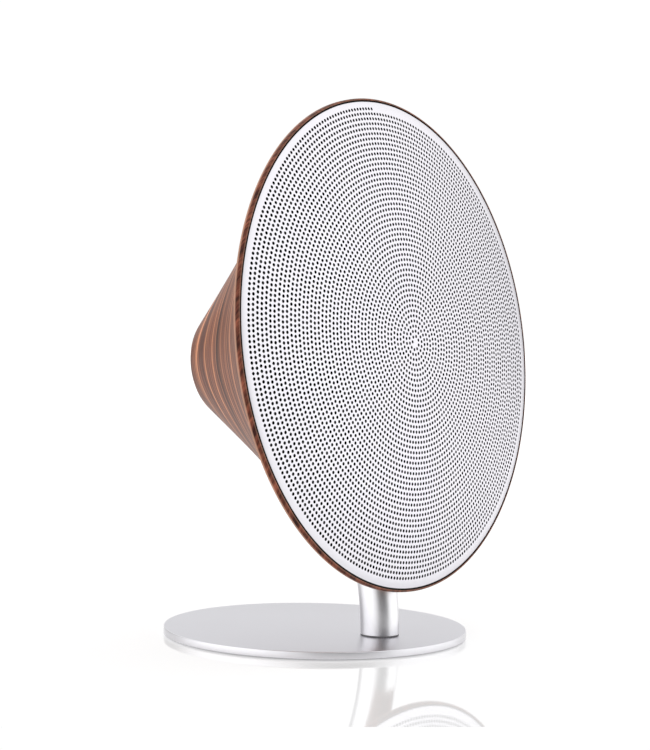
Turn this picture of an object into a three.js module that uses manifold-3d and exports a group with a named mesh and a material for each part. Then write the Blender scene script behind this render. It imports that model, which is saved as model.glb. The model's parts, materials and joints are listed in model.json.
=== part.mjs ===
// Horn-shaped table loudspeaker on a curved post and a round base.
// Millimetres, +Z up. The origin is on the table, at the centre of the base; the mouth faces -Y.
import * as THREE from "three";
import { mergeVertices } from "three/addons/utils/BufferGeometryUtils.js";
import Module from "manifold-3d";

const wasm = await Module();
wasm.setup();

// ---------------------------------------------------------------- driving dimensions

// The horn: its mouth, its length and the way it leans back.
const RIM_RADIUS = 115.6;
const HORN_LENGTH = 106.4;
const TIP_RADIUS = 25.1;
const HORN_TILT = THREE.MathUtils.degToRad(7.2);
const HORN_SETBACK = -44.55; // the mouth's centre, along Y
const RIM_CLEARANCE = 23; // from the base up to the rim's lowest point

// The horn's wall: a straight cone with a flare that dies away behind the rim. The rim itself is
// a short straight band, and a slanting shoulder leads from the band down to the flare.
const FLARE_RISE = 13.1;
const FLARE_OVERSHOOT = 2.65; // how far outside the rim the flare would start without the band
const FLARE_REACH = 18.5;
const WALL = 2.6;
const RIM_BAND = 3.1;
const BAND_CORNER = 0.6;
const SHOULDER_DEPTH = 5.2;
const LIP_ROUND = 0.7;
const LIP_WIDTH = 1;
const TIP_ROUND = 5;

// The grille: one pressed dome.
const DOME_HEIGHT = 10.45;
const DOME_POWER = 2.2;
const SHEET = 0.8;
const CLOTH = 0.4;

// The stand.
const BASE_RADIUS = 73;
const BASE_TOP = 3.8;
const BASE_GAP = 0.45; // the shadow gap that the foot pad leaves under the base
const PAD_RADIUS = 68.7;
const PAD_THICKNESS = 1.3;
const POST_RADIUS = 9.15;
const POST_SETBACK = -38.3;
const POST_BEND_RADIUS = 125;
const GASKET = 0.4;

// The drivers. The woofer fills the room that the tweeter leaves on the baffle.
const TWEETER_PLATE_RADIUS = 21;
const TWEETER_BODY_RADIUS = 16;
const COIL_RADIUS = 13;
const SURROUND_ROOM = 13.6; // from the cone's edge out to the basket's

// The rear panel and its buttons.
const PANEL_THICKNESS = 1.5;
const BUTTON_RADIUS = 3;
const BUTTON_TRAVEL = 0.8;

// Round cells of a standard size.
const CELL_RADIUS = 9.2;
const CELL_LENGTH = 65;

// Clearances.
const SEAT_GAP = 0.3; // between pieces that rest on each other
const SLIDE_GAP = 0.3; // round a piece that moves
const HOLE_GAP = 0.3; // round a fastener's shank
const FACE_GAP = 0.05; // between the stand's flat faces

// How finely round pieces are faceted.
const FINE = 40;
const MEDIUM = 24;
const SMALL = 16;
const TINY = 8;

// ---------------------------------------------------------------- making solids

function toSolid(geometry) {
  const bare = geometry.clone();
  bare.deleteAttribute("normal");
  bare.deleteAttribute("uv");
  const merged = mergeVertices(bare, 1e-4);
  const mesh = new wasm.Mesh({
    numProp: 3,
    vertProperties: merged.attributes.position.array,
    triVerts: new Uint32Array(merged.index.array),
  });
  return new wasm.Manifold(mesh);
}

function toGeometry(solid) {
  const mesh = solid.getMesh();
  const geometry = new THREE.BufferGeometry();
  geometry.setAttribute("position", new THREE.BufferAttribute(mesh.vertProperties, 3));
  geometry.setIndex(new THREE.BufferAttribute(mesh.triVerts, 1));
  geometry.computeVertexNormals();
  return geometry;
}

const combine = (operation) => (first, ...others) =>
  toGeometry(others.reduce((solid, other) => solid[operation](toSolid(other)), toSolid(first)));

const join = combine("add");
const cut = combine("subtract");
const common = combine("intersect");

// A solid of revolution about Z. The outline's [radius, z] points run counter-clockwise.
function turned(outline, segments = SMALL) {
  const points = outline.map(([radius, z]) => new THREE.Vector2(radius, z));
  const opensOnAxis = outline[0][0] === 0 && outline[outline.length - 1][0] === 0;
  if (!opensOnAxis) {
    points.push(points[0].clone());
  }
  return new THREE.LatheGeometry(points, segments).rotateX(Math.PI / 2);
}

const ring = (inner, outer, low, high, segments) =>
  turned([[inner, low], [outer, low], [outer, high], [inner, high]], segments);

const disc = (radius, low, high, segments) =>
  turned([[0, low], [radius, low], [radius, high], [0, high]], segments);

const rod = (radius, low, high, x = 0, y = 0, segments = TINY) =>
  disc(radius, low, high, segments).translate(x, y, 0);

function block(width, height, low, high, x = 0, y = 0) {
  const geometry = new THREE.BoxGeometry(width, height, high - low);
  return geometry.translate(x, y, (low + high) / 2);
}

// A flat bar with round ends, as wide as it is long overall.
function stadium(width, height, low, high, x = 0, y = 0) {
  const round = height / 2;
  const straight = width / 2 - round;
  const shape = new THREE.Shape();
  shape.absarc(straight, 0, round, -Math.PI / 2, Math.PI / 2, false);
  shape.absarc(-straight, 0, round, Math.PI / 2, 1.5 * Math.PI, false);
  const options = { depth: high - low, bevelEnabled: false, curveSegments: 5 };
  return new THREE.ExtrudeGeometry(shape, options).translate(x, y, low);
}

// A round bar or wire along a curve.
function swept(curve, radius, sides, steps) {
  const shape = new THREE.Shape();
  shape.absarc(0, 0, radius, 0, 2 * Math.PI, false);
  const section = new THREE.Shape(shape.getSpacedPoints(sides).slice(0, sides));
  return new THREE.ExtrudeGeometry(section, { steps, extrudePath: curve });
}

const wire = (points, radius) => {
  const curve = new THREE.CatmullRomCurve3(points.map((point) => new THREE.Vector3(...point)));
  return swept(curve, radius, 8, 3 * (points.length - 1));
};

// A screw whose head stands on z = 0 and whose shank points along +Z.
const screwShape = (headRadius, headHeight, shankRadius, length) =>
  turned(
    [
      [0, -headHeight],
      [headRadius, -headHeight],
      [headRadius, 0],
      [shankRadius, 0],
      [shankRadius, length],
      [0, length],
    ],
    TINY,
  );

const polar = (radius, degrees) => {
  const angle = THREE.MathUtils.degToRad(degrees);
  return [radius * Math.cos(angle), radius * Math.sin(angle)];
};

// ---------------------------------------------------------------- the two frames

const loudspeaker = new THREE.Group();

// The horn's frame: +Z back along its axis, +Y up, +X to the right as seen from behind.
const horn = new THREE.Group();
const axisBack = new THREE.Vector3(0, Math.cos(HORN_TILT), -Math.sin(HORN_TILT));
const axisUp = new THREE.Vector3(0, Math.sin(HORN_TILT), Math.cos(HORN_TILT));
const axisRight = new THREE.Vector3(-1, 0, 0);
const mouthHeight = BASE_TOP + RIM_CLEARANCE + RIM_RADIUS * Math.cos(HORN_TILT);
horn.quaternion.setFromRotationMatrix(
  new THREE.Matrix4().makeBasis(axisRight, axisUp, axisBack),
);
horn.position.set(0, HORN_SETBACK, mouthHeight);
horn.updateMatrixWorld(true);
loudspeaker.add(horn);

const finish = (color, roughness, metalness) =>
  new THREE.MeshStandardMaterial({ color, roughness, metalness });

const woodLook = () => finish(0x95674f, 0.35, 0);
const satinAluminium = () => finish(0xd8d8dc, 0.32, 0.9);
const steel = () => finish(0x9a9a9e, 0.4, 0.9);
const blackPlastic = () => finish(0x17171a, 0.55, 0);
const rubber = () => finish(0x202022, 0.8, 0);
const ferrite = () => finish(0x2b2b2e, 0.7, 0.1);
const paperCone = () => finish(0x1c1c1e, 0.85, 0);
const copper = () => finish(0xb0643a, 0.35, 0.9);
const boardGreen = () => finish(0x1d5a35, 0.5, 0);

function piece(name, geometry, material, parent = horn) {
  const mesh = new THREE.Mesh(geometry, material);
  mesh.name = name;
  parent.add(mesh);
  return mesh;
}

function screw(name, shape, x, y, z) {
  return piece(name, shape, steel()).position.set(x, y, z);
}

// ---------------------------------------------------------------- the horn's outline

const coneFront = RIM_RADIUS - FLARE_RISE;
const coneSlope = (coneFront - TIP_RADIUS) / HORN_LENGTH;
const coneRadius = (depth) => coneFront - coneSlope * depth;
const flare = (depth) => (FLARE_RISE + FLARE_OVERSHOOT) * Math.exp(-depth / FLARE_REACH);

const outerRadius = (depth) => coneRadius(depth) + flare(depth);
const outerSlope = (depth) => coneSlope + flare(depth) / FLARE_REACH;
const innerRadius = (depth) => outerRadius(depth) - WALL * Math.hypot(1, outerSlope(depth));

// Depths from near the rim to the given end, closer together where the flare bends.
function flankDepths(start, end, count) {
  const share = (step) => (step / count) ** 1.7;
  return Array.from({ length: count + 1 }, (_, step) => start + (end - start) * share(step));
}

function arc(centre, radius, fromDegrees, toDegrees, count) {
  return Array.from({ length: count + 1 }, (_, step) => {
    const [x, y] = polar(radius, fromDegrees + ((toDegrees - fromDegrees) * step) / count);
    return [centre[0] + x, centre[1] + y];
  });
}

const domeEdge = RIM_RADIUS - LIP_WIDTH - 0.5; // a shadow line of half a millimetre round the grille
const domeRise = (radius) => DOME_HEIGHT * (1 - (radius / domeEdge) ** DOME_POWER);

const seatDepth = SHEET + 0.4; // the ledge that the grille's edge sits on
const mouthDepth = 4.5;
const mouthRadius = innerRadius(mouthDepth);
const ringOuter = mouthRadius - 0.4;
const ringInner = ringOuter - 3.6;
const tweeterSpot = ringInner - TWEETER_PLATE_RADIUS - 6.1;
const basketRadius = tweeterSpot - TWEETER_PLATE_RADIUS - 3;
const basketBodyRadius = basketRadius - 7.5;
const basketFloorRadius = COIL_RADIUS + 0.571 * (basketBodyRadius - COIL_RADIUS);
const magnetRadius = basketFloorRadius + 2;

const panelRadius = TIP_RADIUS - 5.1;
const panelRecess = PANEL_THICKNESS + SEAT_GAP;
const tipWall = 4;
const plugRadius = panelRadius - 1.4;

// ---------------------------------------------------------------- where the post meets the horn

const postFoot = BASE_TOP + GASKET + 2 * FACE_GAP;

const postPoint = (angle) =>
  new THREE.Vector3(
    0,
    POST_SETBACK + POST_BEND_RADIUS * (1 - Math.cos(angle)),
    postFoot + POST_BEND_RADIUS * Math.sin(angle),
  );

function distanceFromHorn(angle) {
  const point = horn.worldToLocal(postPoint(angle));
  return Math.hypot(point.x, point.y) - outerRadius(point.z);
}

function findMeetingAngle() {
  let outside = 0;
  let inside = 0.8;
  for (let step = 0; step < 40; step += 1) {
    const middle = (outside + inside) / 2;
    if (distanceFromHorn(middle) > 0) {
      outside = middle;
    } else {
      inside = middle;
    }
  }
  return outside;
}

const meetingAngle = findMeetingAngle();

// The joint's frame: its origin is where the post's centre line meets the horn, +Z runs on inwards.
const jointFrame = new THREE.Matrix4()
  .makeRotationX(-meetingAngle)
  .setPosition(postPoint(meetingAngle));
const jointInHorn = horn.matrixWorld.clone().invert().multiply(jointFrame);

// The wall slants across the joint, so the boss's flat top stands beyond the end of the slant.
const tenonRadius = 6;
const bossRadius = 11;

function slantReach() {
  const inwards = new THREE.Vector3(0, 0, 1).transformDirection(jointInHorn);
  const meetingPoint = new THREE.Vector3().setFromMatrixPosition(jointInHorn);
  const slope = outerSlope(meetingPoint.z);
  const alongWall = (slope * inwards.y + inwards.z) / Math.hypot(1, slope);
  const angle = Math.acos(alongWall);
  return bossRadius / Math.tan(angle) + WALL / Math.sin(angle);
}

const jointReach = slantReach() + 1;

// ---------------------------------------------------------------- the shell

function shellOutline() {
  const tipAngle = THREE.MathUtils.radToDeg(Math.atan(outerSlope(HORN_LENGTH)));
  const tangentDepth = HORN_LENGTH - TIP_ROUND * (1 - Math.sin(Math.atan(outerSlope(HORN_LENGTH))));
  const [roundX] = polar(TIP_ROUND, tipAngle);
  const tipCentre = [outerRadius(tangentDepth) - roundX, HORN_LENGTH - TIP_ROUND];
  const lipInner = RIM_RADIUS - LIP_WIDTH;
  const lipCentre = [RIM_RADIUS - LIP_ROUND, LIP_ROUND];
  const cornerCentre = [RIM_RADIUS - BAND_CORNER, RIM_BAND - BAND_CORNER];
  const flank = flankDepths(SHOULDER_DEPTH, tangentDepth, 9).slice(0, -1);
  const inside = flankDepths(mouthDepth, HORN_LENGTH - tipWall, 7).reverse();
  return [
    [lipInner, seatDepth],
    [lipInner, 0.3],
    ...arc(lipCentre, LIP_ROUND, -90, 0, 3),
    ...arc(cornerCentre, BAND_CORNER, 0, 66, 2),
    ...flank.map((depth) => [outerRadius(depth), depth]),
    ...arc(tipCentre, TIP_ROUND, tipAngle, 90, 3),
    [panelRadius + SEAT_GAP, HORN_LENGTH],
    [panelRadius + SEAT_GAP, HORN_LENGTH - panelRecess],
    [plugRadius + SEAT_GAP, HORN_LENGTH - panelRecess],
    [plugRadius + SEAT_GAP, HORN_LENGTH - tipWall],
    ...inside.map((depth) => [innerRadius(depth), depth]),
    [mouthRadius, seatDepth],
  ];
}

// The horn as one filled solid, grown or shrunk sideways: a tool that trims what meets its wall.
function filledHorn(growth) {
  const depths = flankDepths(mouthDepth, HORN_LENGTH, 10);
  return turned(
    [
      [0, mouthDepth],
      ...depths.map((depth) => [outerRadius(depth) + growth, depth]),
      [0, HORN_LENGTH],
    ],
    FINE,
  );
}

const baffleScrewSpots = [45, 135, 225, 315].map((degrees) => polar(RIM_RADIUS - 19.6, degrees));
const baffleFront = 4;
const BAFFLE = 3;
const baffleBack = baffleFront + BAFFLE;
const screwShank = 1.4;

const wooferFlange = 2;
const flangeFront = baffleFront - SEAT_GAP - wooferFlange;
const topPlateFront = 26.3;
const topPlateThickness = 5;
const magnetThickness = 12;
const magnetFront = topPlateFront + topPlateThickness + SEAT_GAP;
const yokeFront = magnetFront + magnetThickness + SEAT_GAP;
const yokeThickness = 5;
const yokeBack = yokeFront + yokeThickness;

const boardFront = yokeBack + 2.6;
const BOARD = 1.6;
const boardBack = boardFront + BOARD;

const cellSpacing = 2 * CELL_RADIUS + 1.6;
const holderLength = CELL_LENGTH + 6;
const holderWidth = cellSpacing + 2 * CELL_RADIUS + 2.8;
const holderFront = boardBack + SEAT_GAP;
const cellDepth = holderFront + 1.8 + CELL_RADIUS;
const boardRadius = Math.max(Math.hypot(holderLength, holderWidth) / 2 + 5, magnetRadius + 8);
const boardScrewSpots = [75, 195, 315].map((degrees) => polar(boardRadius - 4.6, degrees));

function shell() {
  const trim = filledHorn(-WALL / 2);
  const baffleBosses = baffleScrewSpots.map(([x, y]) =>
    rod(4, baffleBack + SEAT_GAP, baffleBack + 30, x, y),
  );
  const boardBosses = boardScrewSpots.map(([x, y]) =>
    rod(3.4, boardBack + SEAT_GAP, boardBack + 40, x, y),
  );
  const jointBoss = disc(bossRadius, -2 * POST_RADIUS, jointReach, SMALL);
  jointBoss.applyMatrix4(jointInHorn);
  const bosses = common(join(jointBoss, ...baffleBosses, ...boardBosses), trim);
  const baffleHoles = baffleScrewSpots.map(([x, y]) =>
    rod(screwShank + HOLE_GAP, baffleBack, baffleBack + 6.5, x, y),
  );
  const boardHoles = boardScrewSpots.map(([x, y]) =>
    rod(screwShank + HOLE_GAP, boardBack, boardBack + 8.5, x, y),
  );
  const jointHole = disc(tenonRadius + HOLE_GAP, -3 * POST_RADIUS, jointReach + 5, SMALL);
  jointHole.applyMatrix4(jointInHorn);
  const wall = turned(shellOutline(), FINE);
  return cut(join(wall, bosses), jointHole, ...baffleHoles, ...boardHoles);
}

// ---------------------------------------------------------------- the grille and its carrier

const domeStations = (edge, count) =>
  Array.from({ length: count + 1 }, (_, step) => edge * (step / count) ** 0.8);

// A thin domed sheet that starts the given depth behind the grille's face.
function domedSheet(edge, depth, thickness, count, segments) {
  const radii = domeStations(edge, count);
  const front = radii.map((radius) => [radius, depth - domeRise(radius)]);
  const back = radii.map((radius) => [radius, depth + thickness - domeRise(radius)]);
  return turned([...front, ...back.reverse()], segments);
}

function mouthPieces() {
  piece("grille", domedSheet(domeEdge, 0, SHEET, 6, FINE), satinAluminium());
  const clothEdge = ringOuter - 0.8;
  const clothDepth = SHEET + SEAT_GAP;
  piece("acoustic_cloth", domedSheet(clothEdge, clothDepth, CLOTH, 5, MEDIUM), paperCone());
  const ringFront = clothDepth + CLOTH + SEAT_GAP - domeRise(clothEdge);
  const ringBack = baffleFront - SEAT_GAP - 0.4;
  piece("grille_ring", ring(ringInner, ringOuter, ringFront, ringBack, FINE), blackPlastic());
}

// ---------------------------------------------------------------- the baffle

const tweeterScrewReach = TWEETER_PLATE_RADIUS - 2.3;
const wooferScrewSpots = [45, 135, 225, 315].map((degrees) => polar(basketRadius - 3.8, degrees));

function baffle() {
  const radius = innerRadius(baffleBack) - 0.5;
  const wooferHole = rod(basketBodyRadius + 0.6, 0, 20, 0, 0, MEDIUM);
  const tweeterHole = rod(TWEETER_BODY_RADIUS + 0.4, 0, 20, 0, tweeterSpot, SMALL);
  const tweeterScrews = [-tweeterScrewReach, tweeterScrewReach].map((x) =>
    rod(1.1 + HOLE_GAP, 0, 20, x, tweeterSpot),
  );
  const holes = [...baffleScrewSpots, ...wooferScrewSpots].map(([x, y]) =>
    rod(screwShank + HOLE_GAP, 0, 20, x, y),
  );
  const plate = disc(radius, baffleFront, baffleBack, MEDIUM);
  return cut(plate, wooferHole, tweeterHole, ...tweeterScrews, ...holes);
}

function bafflePieces() {
  piece("baffle", baffle(), blackPlastic());
  baffleScrewSpots.forEach(([x, y], index) => {
    const shape = screwShape(2.7, 1.6, screwShank, BAFFLE + SEAT_GAP + 5.5);
    screw(`baffle_screw_${index + 1}`, shape, x, y, baffleFront - 0.2);
  });
}

// ---------------------------------------------------------------- the woofer

const surroundOuter = basketBodyRadius - 1.2;
const diaphragmRadius = basketRadius - SURROUND_ROOM;
const coneEdge = flangeFront + 0.7;
const coneNeck = 17.4;
const neckRadius = COIL_RADIUS + 0.3;
const basketFloor = topPlateFront - SEAT_GAP;
const terminalDepth = 20;

// The outside of the basket's slanting wall at a depth.
function basketWall(depth) {
  const flangeBack = flangeFront + wooferFlange;
  const share = (depth - flangeBack) / (basketFloor - flangeBack);
  return basketBodyRadius + (basketFloorRadius - basketBodyRadius) * share;
}

function basket() {
  const body = turned(
    [
      [surroundOuter + SLIDE_GAP, flangeFront],
      [basketRadius, flangeFront],
      [basketRadius, flangeFront + wooferFlange],
      [basketBodyRadius, flangeFront + wooferFlange],
      [basketFloorRadius, basketFloor],
      [COIL_RADIUS + 3, basketFloor],
      [COIL_RADIUS + 3, basketFloor - 1.4],
      [basketFloorRadius - 1.4, basketFloor - 1.4],
      [basketBodyRadius - 1.5, flangeFront + wooferFlange],
    ],
    MEDIUM,
  );
  const windowAcross = rod(6, -60, 60).rotateY(Math.PI / 2).translate(0, 0, 14);
  const windowUp = rod(6, -60, 60).rotateX(Math.PI / 2).translate(0, 0, 14);
  const holes = wooferScrewSpots.map(([x, y]) => rod(screwShank + HOLE_GAP, 0, 6, x, y));
  return cut(body, windowAcross, windowUp, ...holes);
}

function surround() {
  const inner = diaphragmRadius + SLIDE_GAP;
  const middle = (inner + surroundOuter) / 2;
  const roll = surroundOuter - middle;
  const seat = [middle, coneEdge - 0.2];
  return turned([...arc(seat, roll, 180, 360, 4), ...arc(seat, roll - 0.6, 360, 180, 4)], MEDIUM);
}

function spider() {
  const inner = neckRadius;
  const outer = basketFloorRadius - 1.4;
  const count = 4;
  const wave = (step) => 21.1 + 0.5 * (step % 2);
  const radii = Array.from({ length: count + 1 }, (_, step) => inner + ((outer - inner) * step) / count);
  const front = radii.map((radius, step) => [radius, wave(step)]);
  const back = radii.map((radius, step) => [radius, wave(step) + 0.5]);
  return turned([...front, ...back.reverse()], MEDIUM);
}

function cone() {
  return turned(
    [
      [neckRadius, coneNeck - 1.2],
      [diaphragmRadius - 0.8, coneEdge - 1],
      [diaphragmRadius, coneEdge - 1],
      [diaphragmRadius, coneEdge],
      [neckRadius + 0.8, coneNeck],
      [neckRadius, coneNeck],
    ],
    MEDIUM,
  );
}

function dustCap() {
  const edge = COIL_RADIUS + 1.6;
  const coneFrontSlope = (coneNeck - coneEdge - 0.2) / (diaphragmRadius - 0.8 - neckRadius);
  const edgeDepth = coneNeck - 1.2 - coneFrontSlope * (edge - neckRadius) - 1;
  const radii = [0, 0.35, 0.6, 0.8, 1].map((share) => share * edge);
  const bulge = (radius) => edgeDepth - 3.2 * (1 - (radius / edge) ** 2);
  const front = radii.map((radius) => [radius, bulge(radius)]);
  const back = radii.map((radius) => [radius, bulge(radius) + 0.6]);
  return turned([...front, ...back.reverse()], MEDIUM);
}

function wooferPieces() {
  const coilFront = topPlateFront - 0.3;
  piece("woofer_basket", basket(), steel());
  piece("woofer_surround", surround(), rubber());
  piece("woofer_spider", spider(), finish(0xb98c4a, 0.9, 0));
  piece("woofer_cone", cone(), paperCone());
  piece("woofer_dust_cap", dustCap(), paperCone());
  piece(
    "woofer_coil_former",
    ring(COIL_RADIUS - 0.5, COIL_RADIUS, 16, coilFront + 8.5, MEDIUM),
    finish(0xc9a060, 0.6, 0),
  );
  piece(
    "woofer_voice_coil",
    ring(COIL_RADIUS + 0.1, COIL_RADIUS + 0.6, coilFront, coilFront + 8, MEDIUM),
    copper(),
  );
  piece(
    "woofer_top_plate",
    ring(COIL_RADIUS + 1, basketFloorRadius - 1, topPlateFront, topPlateFront + topPlateThickness, MEDIUM),
    steel(),
  );
  piece(
    "woofer_magnet",
    ring(COIL_RADIUS + 5, magnetRadius, magnetFront, magnetFront + magnetThickness, MEDIUM),
    ferrite(),
  );
  const yokeOutline = [
    [0, topPlateFront + 0.2],
    [COIL_RADIUS - 1, topPlateFront + 0.2],
    [COIL_RADIUS - 1, yokeFront],
    [basketFloorRadius - 1, yokeFront],
    [basketFloorRadius - 1, yokeBack],
    [0, yokeBack],
  ];
  piece("woofer_yoke", turned(yokeOutline, MEDIUM), steel());
  wooferScrewSpots.forEach(([x, y], index) => {
    screw(`woofer_screw_${index + 1}`, screwShape(2.7, 1.6, screwShank, 6.5), x, y, flangeFront - 0.2);
  });
}

// ---------------------------------------------------------------- the tweeter

function tweeterDome() {
  const radius = 10.3;
  const skirtOuter = 9.9;
  const skirtInner = 9.4;
  const skirtEnd = 11.5;
  const bulge = (r) => 0.8 + 4 * (r / radius) ** 2;
  return turned(
    [
      ...[0, 5, 8, radius].map((r) => [r, bulge(r)]),
      [radius, bulge(radius) + 0.5],
      [skirtOuter, bulge(radius) + 0.5],
      [skirtOuter, skirtEnd],
      [skirtInner, skirtEnd],
      [skirtInner, bulge(skirtInner) + 0.6],
      ...[8, 5, 0].map((r) => [r, bulge(r) + 0.6]),
    ],
    SMALL,
  );
}

function tweeterFrame() {
  const front = baffleFront - SEAT_GAP - 1.4;
  const plateBack = baffleFront - SEAT_GAP;
  const body = turned(
    [
      [10.9, front],
      [TWEETER_PLATE_RADIUS, front],
      [TWEETER_PLATE_RADIUS, plateBack],
      [TWEETER_BODY_RADIUS, plateBack],
      [TWEETER_BODY_RADIUS, 9],
      [10.9, 9],
    ],
    SMALL,
  );
  const holes = [-tweeterScrewReach, tweeterScrewReach].map((x) => rod(1.1 + HOLE_GAP, 0, 8, x, 0));
  return cut(body, ...holes);
}

function tweeterPieces() {
  const magnetOutline = [[0, 9.3], [9, 9.3], [9, 13], [10.4, 13], [10.4, 9.3], [15, 9.3], [15, 15.4], [0, 15.4]];
  piece("tweeter_frame", tweeterFrame(), blackPlastic()).position.y = tweeterSpot;
  piece("tweeter_dome", tweeterDome(), finish(0x3a3a40, 0.5, 0)).position.y = tweeterSpot;
  piece("tweeter_magnet", turned(magnetOutline, SMALL), steel()).position.y = tweeterSpot;
  [-tweeterScrewReach, tweeterScrewReach].forEach((x, index) => {
    const plateFront = baffleFront - SEAT_GAP - 1.4;
    screw(`tweeter_screw_${index + 1}`, screwShape(1.9, 1.2, 1.1, 5), x, tweeterSpot, plateFront - 0.2);
  });
}

// ---------------------------------------------------------------- the amplifier board and the cells

function mainBoard() {
  const plate = disc(boardRadius, boardFront, boardBack, SMALL);
  const chip = block(12, 12, boardFront - 1.6, boardFront + 0.2, 0, -boardRadius + 12);
  const terminal = block(10, 5, boardFront - 1.6, boardFront + 0.2, 0, boardRadius - 6);
  const capacitorSpot = -holderWidth / 2 - 7;
  const capacitors = [-8, 8].map((x) =>
    rod(5, boardBack - 0.2, boardBack + 12, x, capacitorSpot, TINY),
  );
  const holes = boardScrewSpots.map(([x, y]) => rod(screwShank + HOLE_GAP, 0, boardBack + 5, x, y));
  return cut(join(plate, chip, terminal, ...capacitors), ...holes);
}

function batteryHolder() {
  const tray = block(holderLength, holderWidth, holderFront, cellDepth);
  const pockets = [-0.5, 0.5].map((side) => {
    const length = CELL_LENGTH / 2 + 0.5;
    const pocket = rod(CELL_RADIUS + SEAT_GAP, -length, length, 0, 0, 16);
    return pocket.rotateY(Math.PI / 2).translate(0, side * cellSpacing, cellDepth);
  });
  return cut(tray, ...pockets);
}

function cell() {
  const half = CELL_LENGTH / 2;
  const shoulder = half - 1.5;
  return turned(
    [
      [0, -half],
      [CELL_RADIUS, -half],
      [CELL_RADIUS, shoulder],
      [3, shoulder],
      [3, half],
      [0, half],
    ],
    16,
  ).rotateY(Math.PI / 2);
}

function powerPieces() {
  piece("main_board", mainBoard(), boardGreen());
  boardScrewSpots.forEach(([x, y], index) => {
    screw(`board_screw_${index + 1}`, screwShape(2.5, 1.6, screwShank, 9), x, y, boardFront - 0.2);
  });
  piece("battery_holder", batteryHolder(), blackPlastic());
  [-0.5, 0.5].forEach((side, index) => {
    const mesh = piece(`battery_cell_${index + 1}`, cell(), finish(0x2f6fb0, 0.4, 0));
    mesh.position.set(0, side * cellSpacing, cellDepth);
  });
}

// ---------------------------------------------------------------- the rear panel

const panelBack = HORN_LENGTH - 0.1;
const panelFront = panelBack - PANEL_THICKNESS;
const buttonFlange = 0.6; // how far a button's retaining flange stands out round its cap
const flangeThickness = 1.2;
const flangeBack = panelFront - SLIDE_GAP;
const stemFront = flangeBack - flangeThickness - 2.1;
const switchBack = stemFront - BUTTON_TRAVEL - 0.3;
const controlBack = switchBack - 2.3;
const controlFront = controlBack - BOARD;
const plugInner = plugRadius - 1.3;
const layoutRadius = plugInner - BUTTON_RADIUS - buttonFlange - 0.7;
const controlRadius = plugInner - 1.3;
const powerButtonRadius = 0.54 * (layoutRadius - BUTTON_RADIUS - 2 * buttonFlange);

const buttons = [
  { name: "power_button", radius: powerButtonRadius, spot: [0, 0] },
  { name: "volume_up_button", radius: BUTTON_RADIUS, spot: polar(layoutRadius, 30) },
  { name: "pairing_button", radius: BUTTON_RADIUS, spot: polar(layoutRadius, 90) },
  { name: "volume_down_button", radius: BUTTON_RADIUS, spot: polar(layoutRadius, 150) },
];
const audioSpot = polar(layoutRadius, 225);
const lampSpot = polar(layoutRadius, 270);
const chargingSpot = polar(layoutRadius, 315);
const postSpots = [polar(layoutRadius, -7), polar(layoutRadius, 187)];

function rearPanel() {
  const plate = turned(
    [
      [0, panelFront],
      [plugInner, panelFront],
      [plugInner, HORN_LENGTH - 6],
      [plugRadius, HORN_LENGTH - 6],
      [plugRadius, panelFront],
      [panelRadius, panelFront],
      [panelRadius, panelBack - 0.4],
      [panelRadius - 0.4, panelBack],
      [0, panelBack],
    ],
    SMALL,
  );
  const posts = postSpots.map(([x, y]) =>
    rod(1.7, controlBack + SEAT_GAP, panelFront + 0.5, x, y),
  );
  const pilots = postSpots.map(([x, y]) => rod(1.1, controlBack, controlBack + 4.5, x, y, 6));
  const buttonHoles = buttons.map(({ radius, spot }) =>
    rod(radius + SLIDE_GAP, panelFront - 1, panelBack + 1, ...spot, 12),
  );
  const audioHole = rod(3.3, panelFront - 1, panelBack + 1, ...audioSpot, 12);
  const lampHole = rod(1.3, panelFront - 1, panelBack + 1, ...lampSpot);
  const chargingHole = stadium(9.6, 3.8, panelFront - 1, panelBack + 1, ...chargingSpot);
  return cut(join(plate, ...posts), ...pilots, ...buttonHoles, audioHole, lampHole, chargingHole);
}

const buttonShape = (radius) =>
  turned(
    [
      [0, stemFront],
      [1.2, stemFront],
      [1.2, flangeBack - flangeThickness],
      [radius + buttonFlange, flangeBack - flangeThickness],
      [radius + buttonFlange, flangeBack],
      [radius, flangeBack],
      [radius, panelBack + 0.6],
      [radius - 0.4, panelBack + 1],
      [0, panelBack + 1],
    ],
    12,
  );

function controlBoard() {
  const plate = disc(controlRadius, controlFront, controlBack, SMALL);
  const switches = buttons.map(({ spot }) => block(4.5, 4.5, controlBack - 0.2, switchBack, ...spot));
  const holes = postSpots.map(([x, y]) => rod(1.1, controlFront - 1, controlBack + 1, x, y, 6));
  return cut(join(plate, ...switches), ...holes);
}

function audioSocket() {
  const body = rod(3.6, controlBack + SEAT_GAP, panelFront - 2, 0, 0, 12);
  const barrel = rod(3, panelFront - 2.2, panelBack - 0.2, 0, 0, 12);
  const bore = rod(1.8, controlBack + 1.5, panelBack + 1);
  return cut(join(body, barrel), bore);
}

function chargingSocket() {
  const can = stadium(9, 3.2, controlBack + SEAT_GAP, panelBack - 0.2);
  const inside = stadium(8.4, 2.6, controlBack + 2, panelBack + 1);
  const tongue = block(6.4, 0.7, controlBack + 1.5, panelBack - 1.4);
  return join(cut(can, inside), tongue);
}

function rearPieces() {
  piece("rear_panel", rearPanel(), blackPlastic());
  buttons.forEach(({ name, radius, spot }) => {
    piece(name, buttonShape(radius), rubber()).position.set(...spot, 0);
  });
  piece("control_board", controlBoard(), boardGreen());
  postSpots.forEach(([x, y], index) => {
    const shape = screwShape(1.7, 1.1, 0.8, BOARD + 4);
    screw(`control_screw_${index + 1}`, shape, x, y, controlFront - 0.2);
  });
  piece("audio_socket", audioSocket(), blackPlastic()).position.set(...audioSpot, 0);
  piece("charging_socket", chargingSocket(), steel()).position.set(...chargingSpot, 0);
  const lens = rod(1, panelFront - 3, panelBack + 0.2);
  piece("status_lens", lens, finish(0xe8f0ff, 0.15, 0)).position.set(...lampSpot, 0);
}

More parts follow.
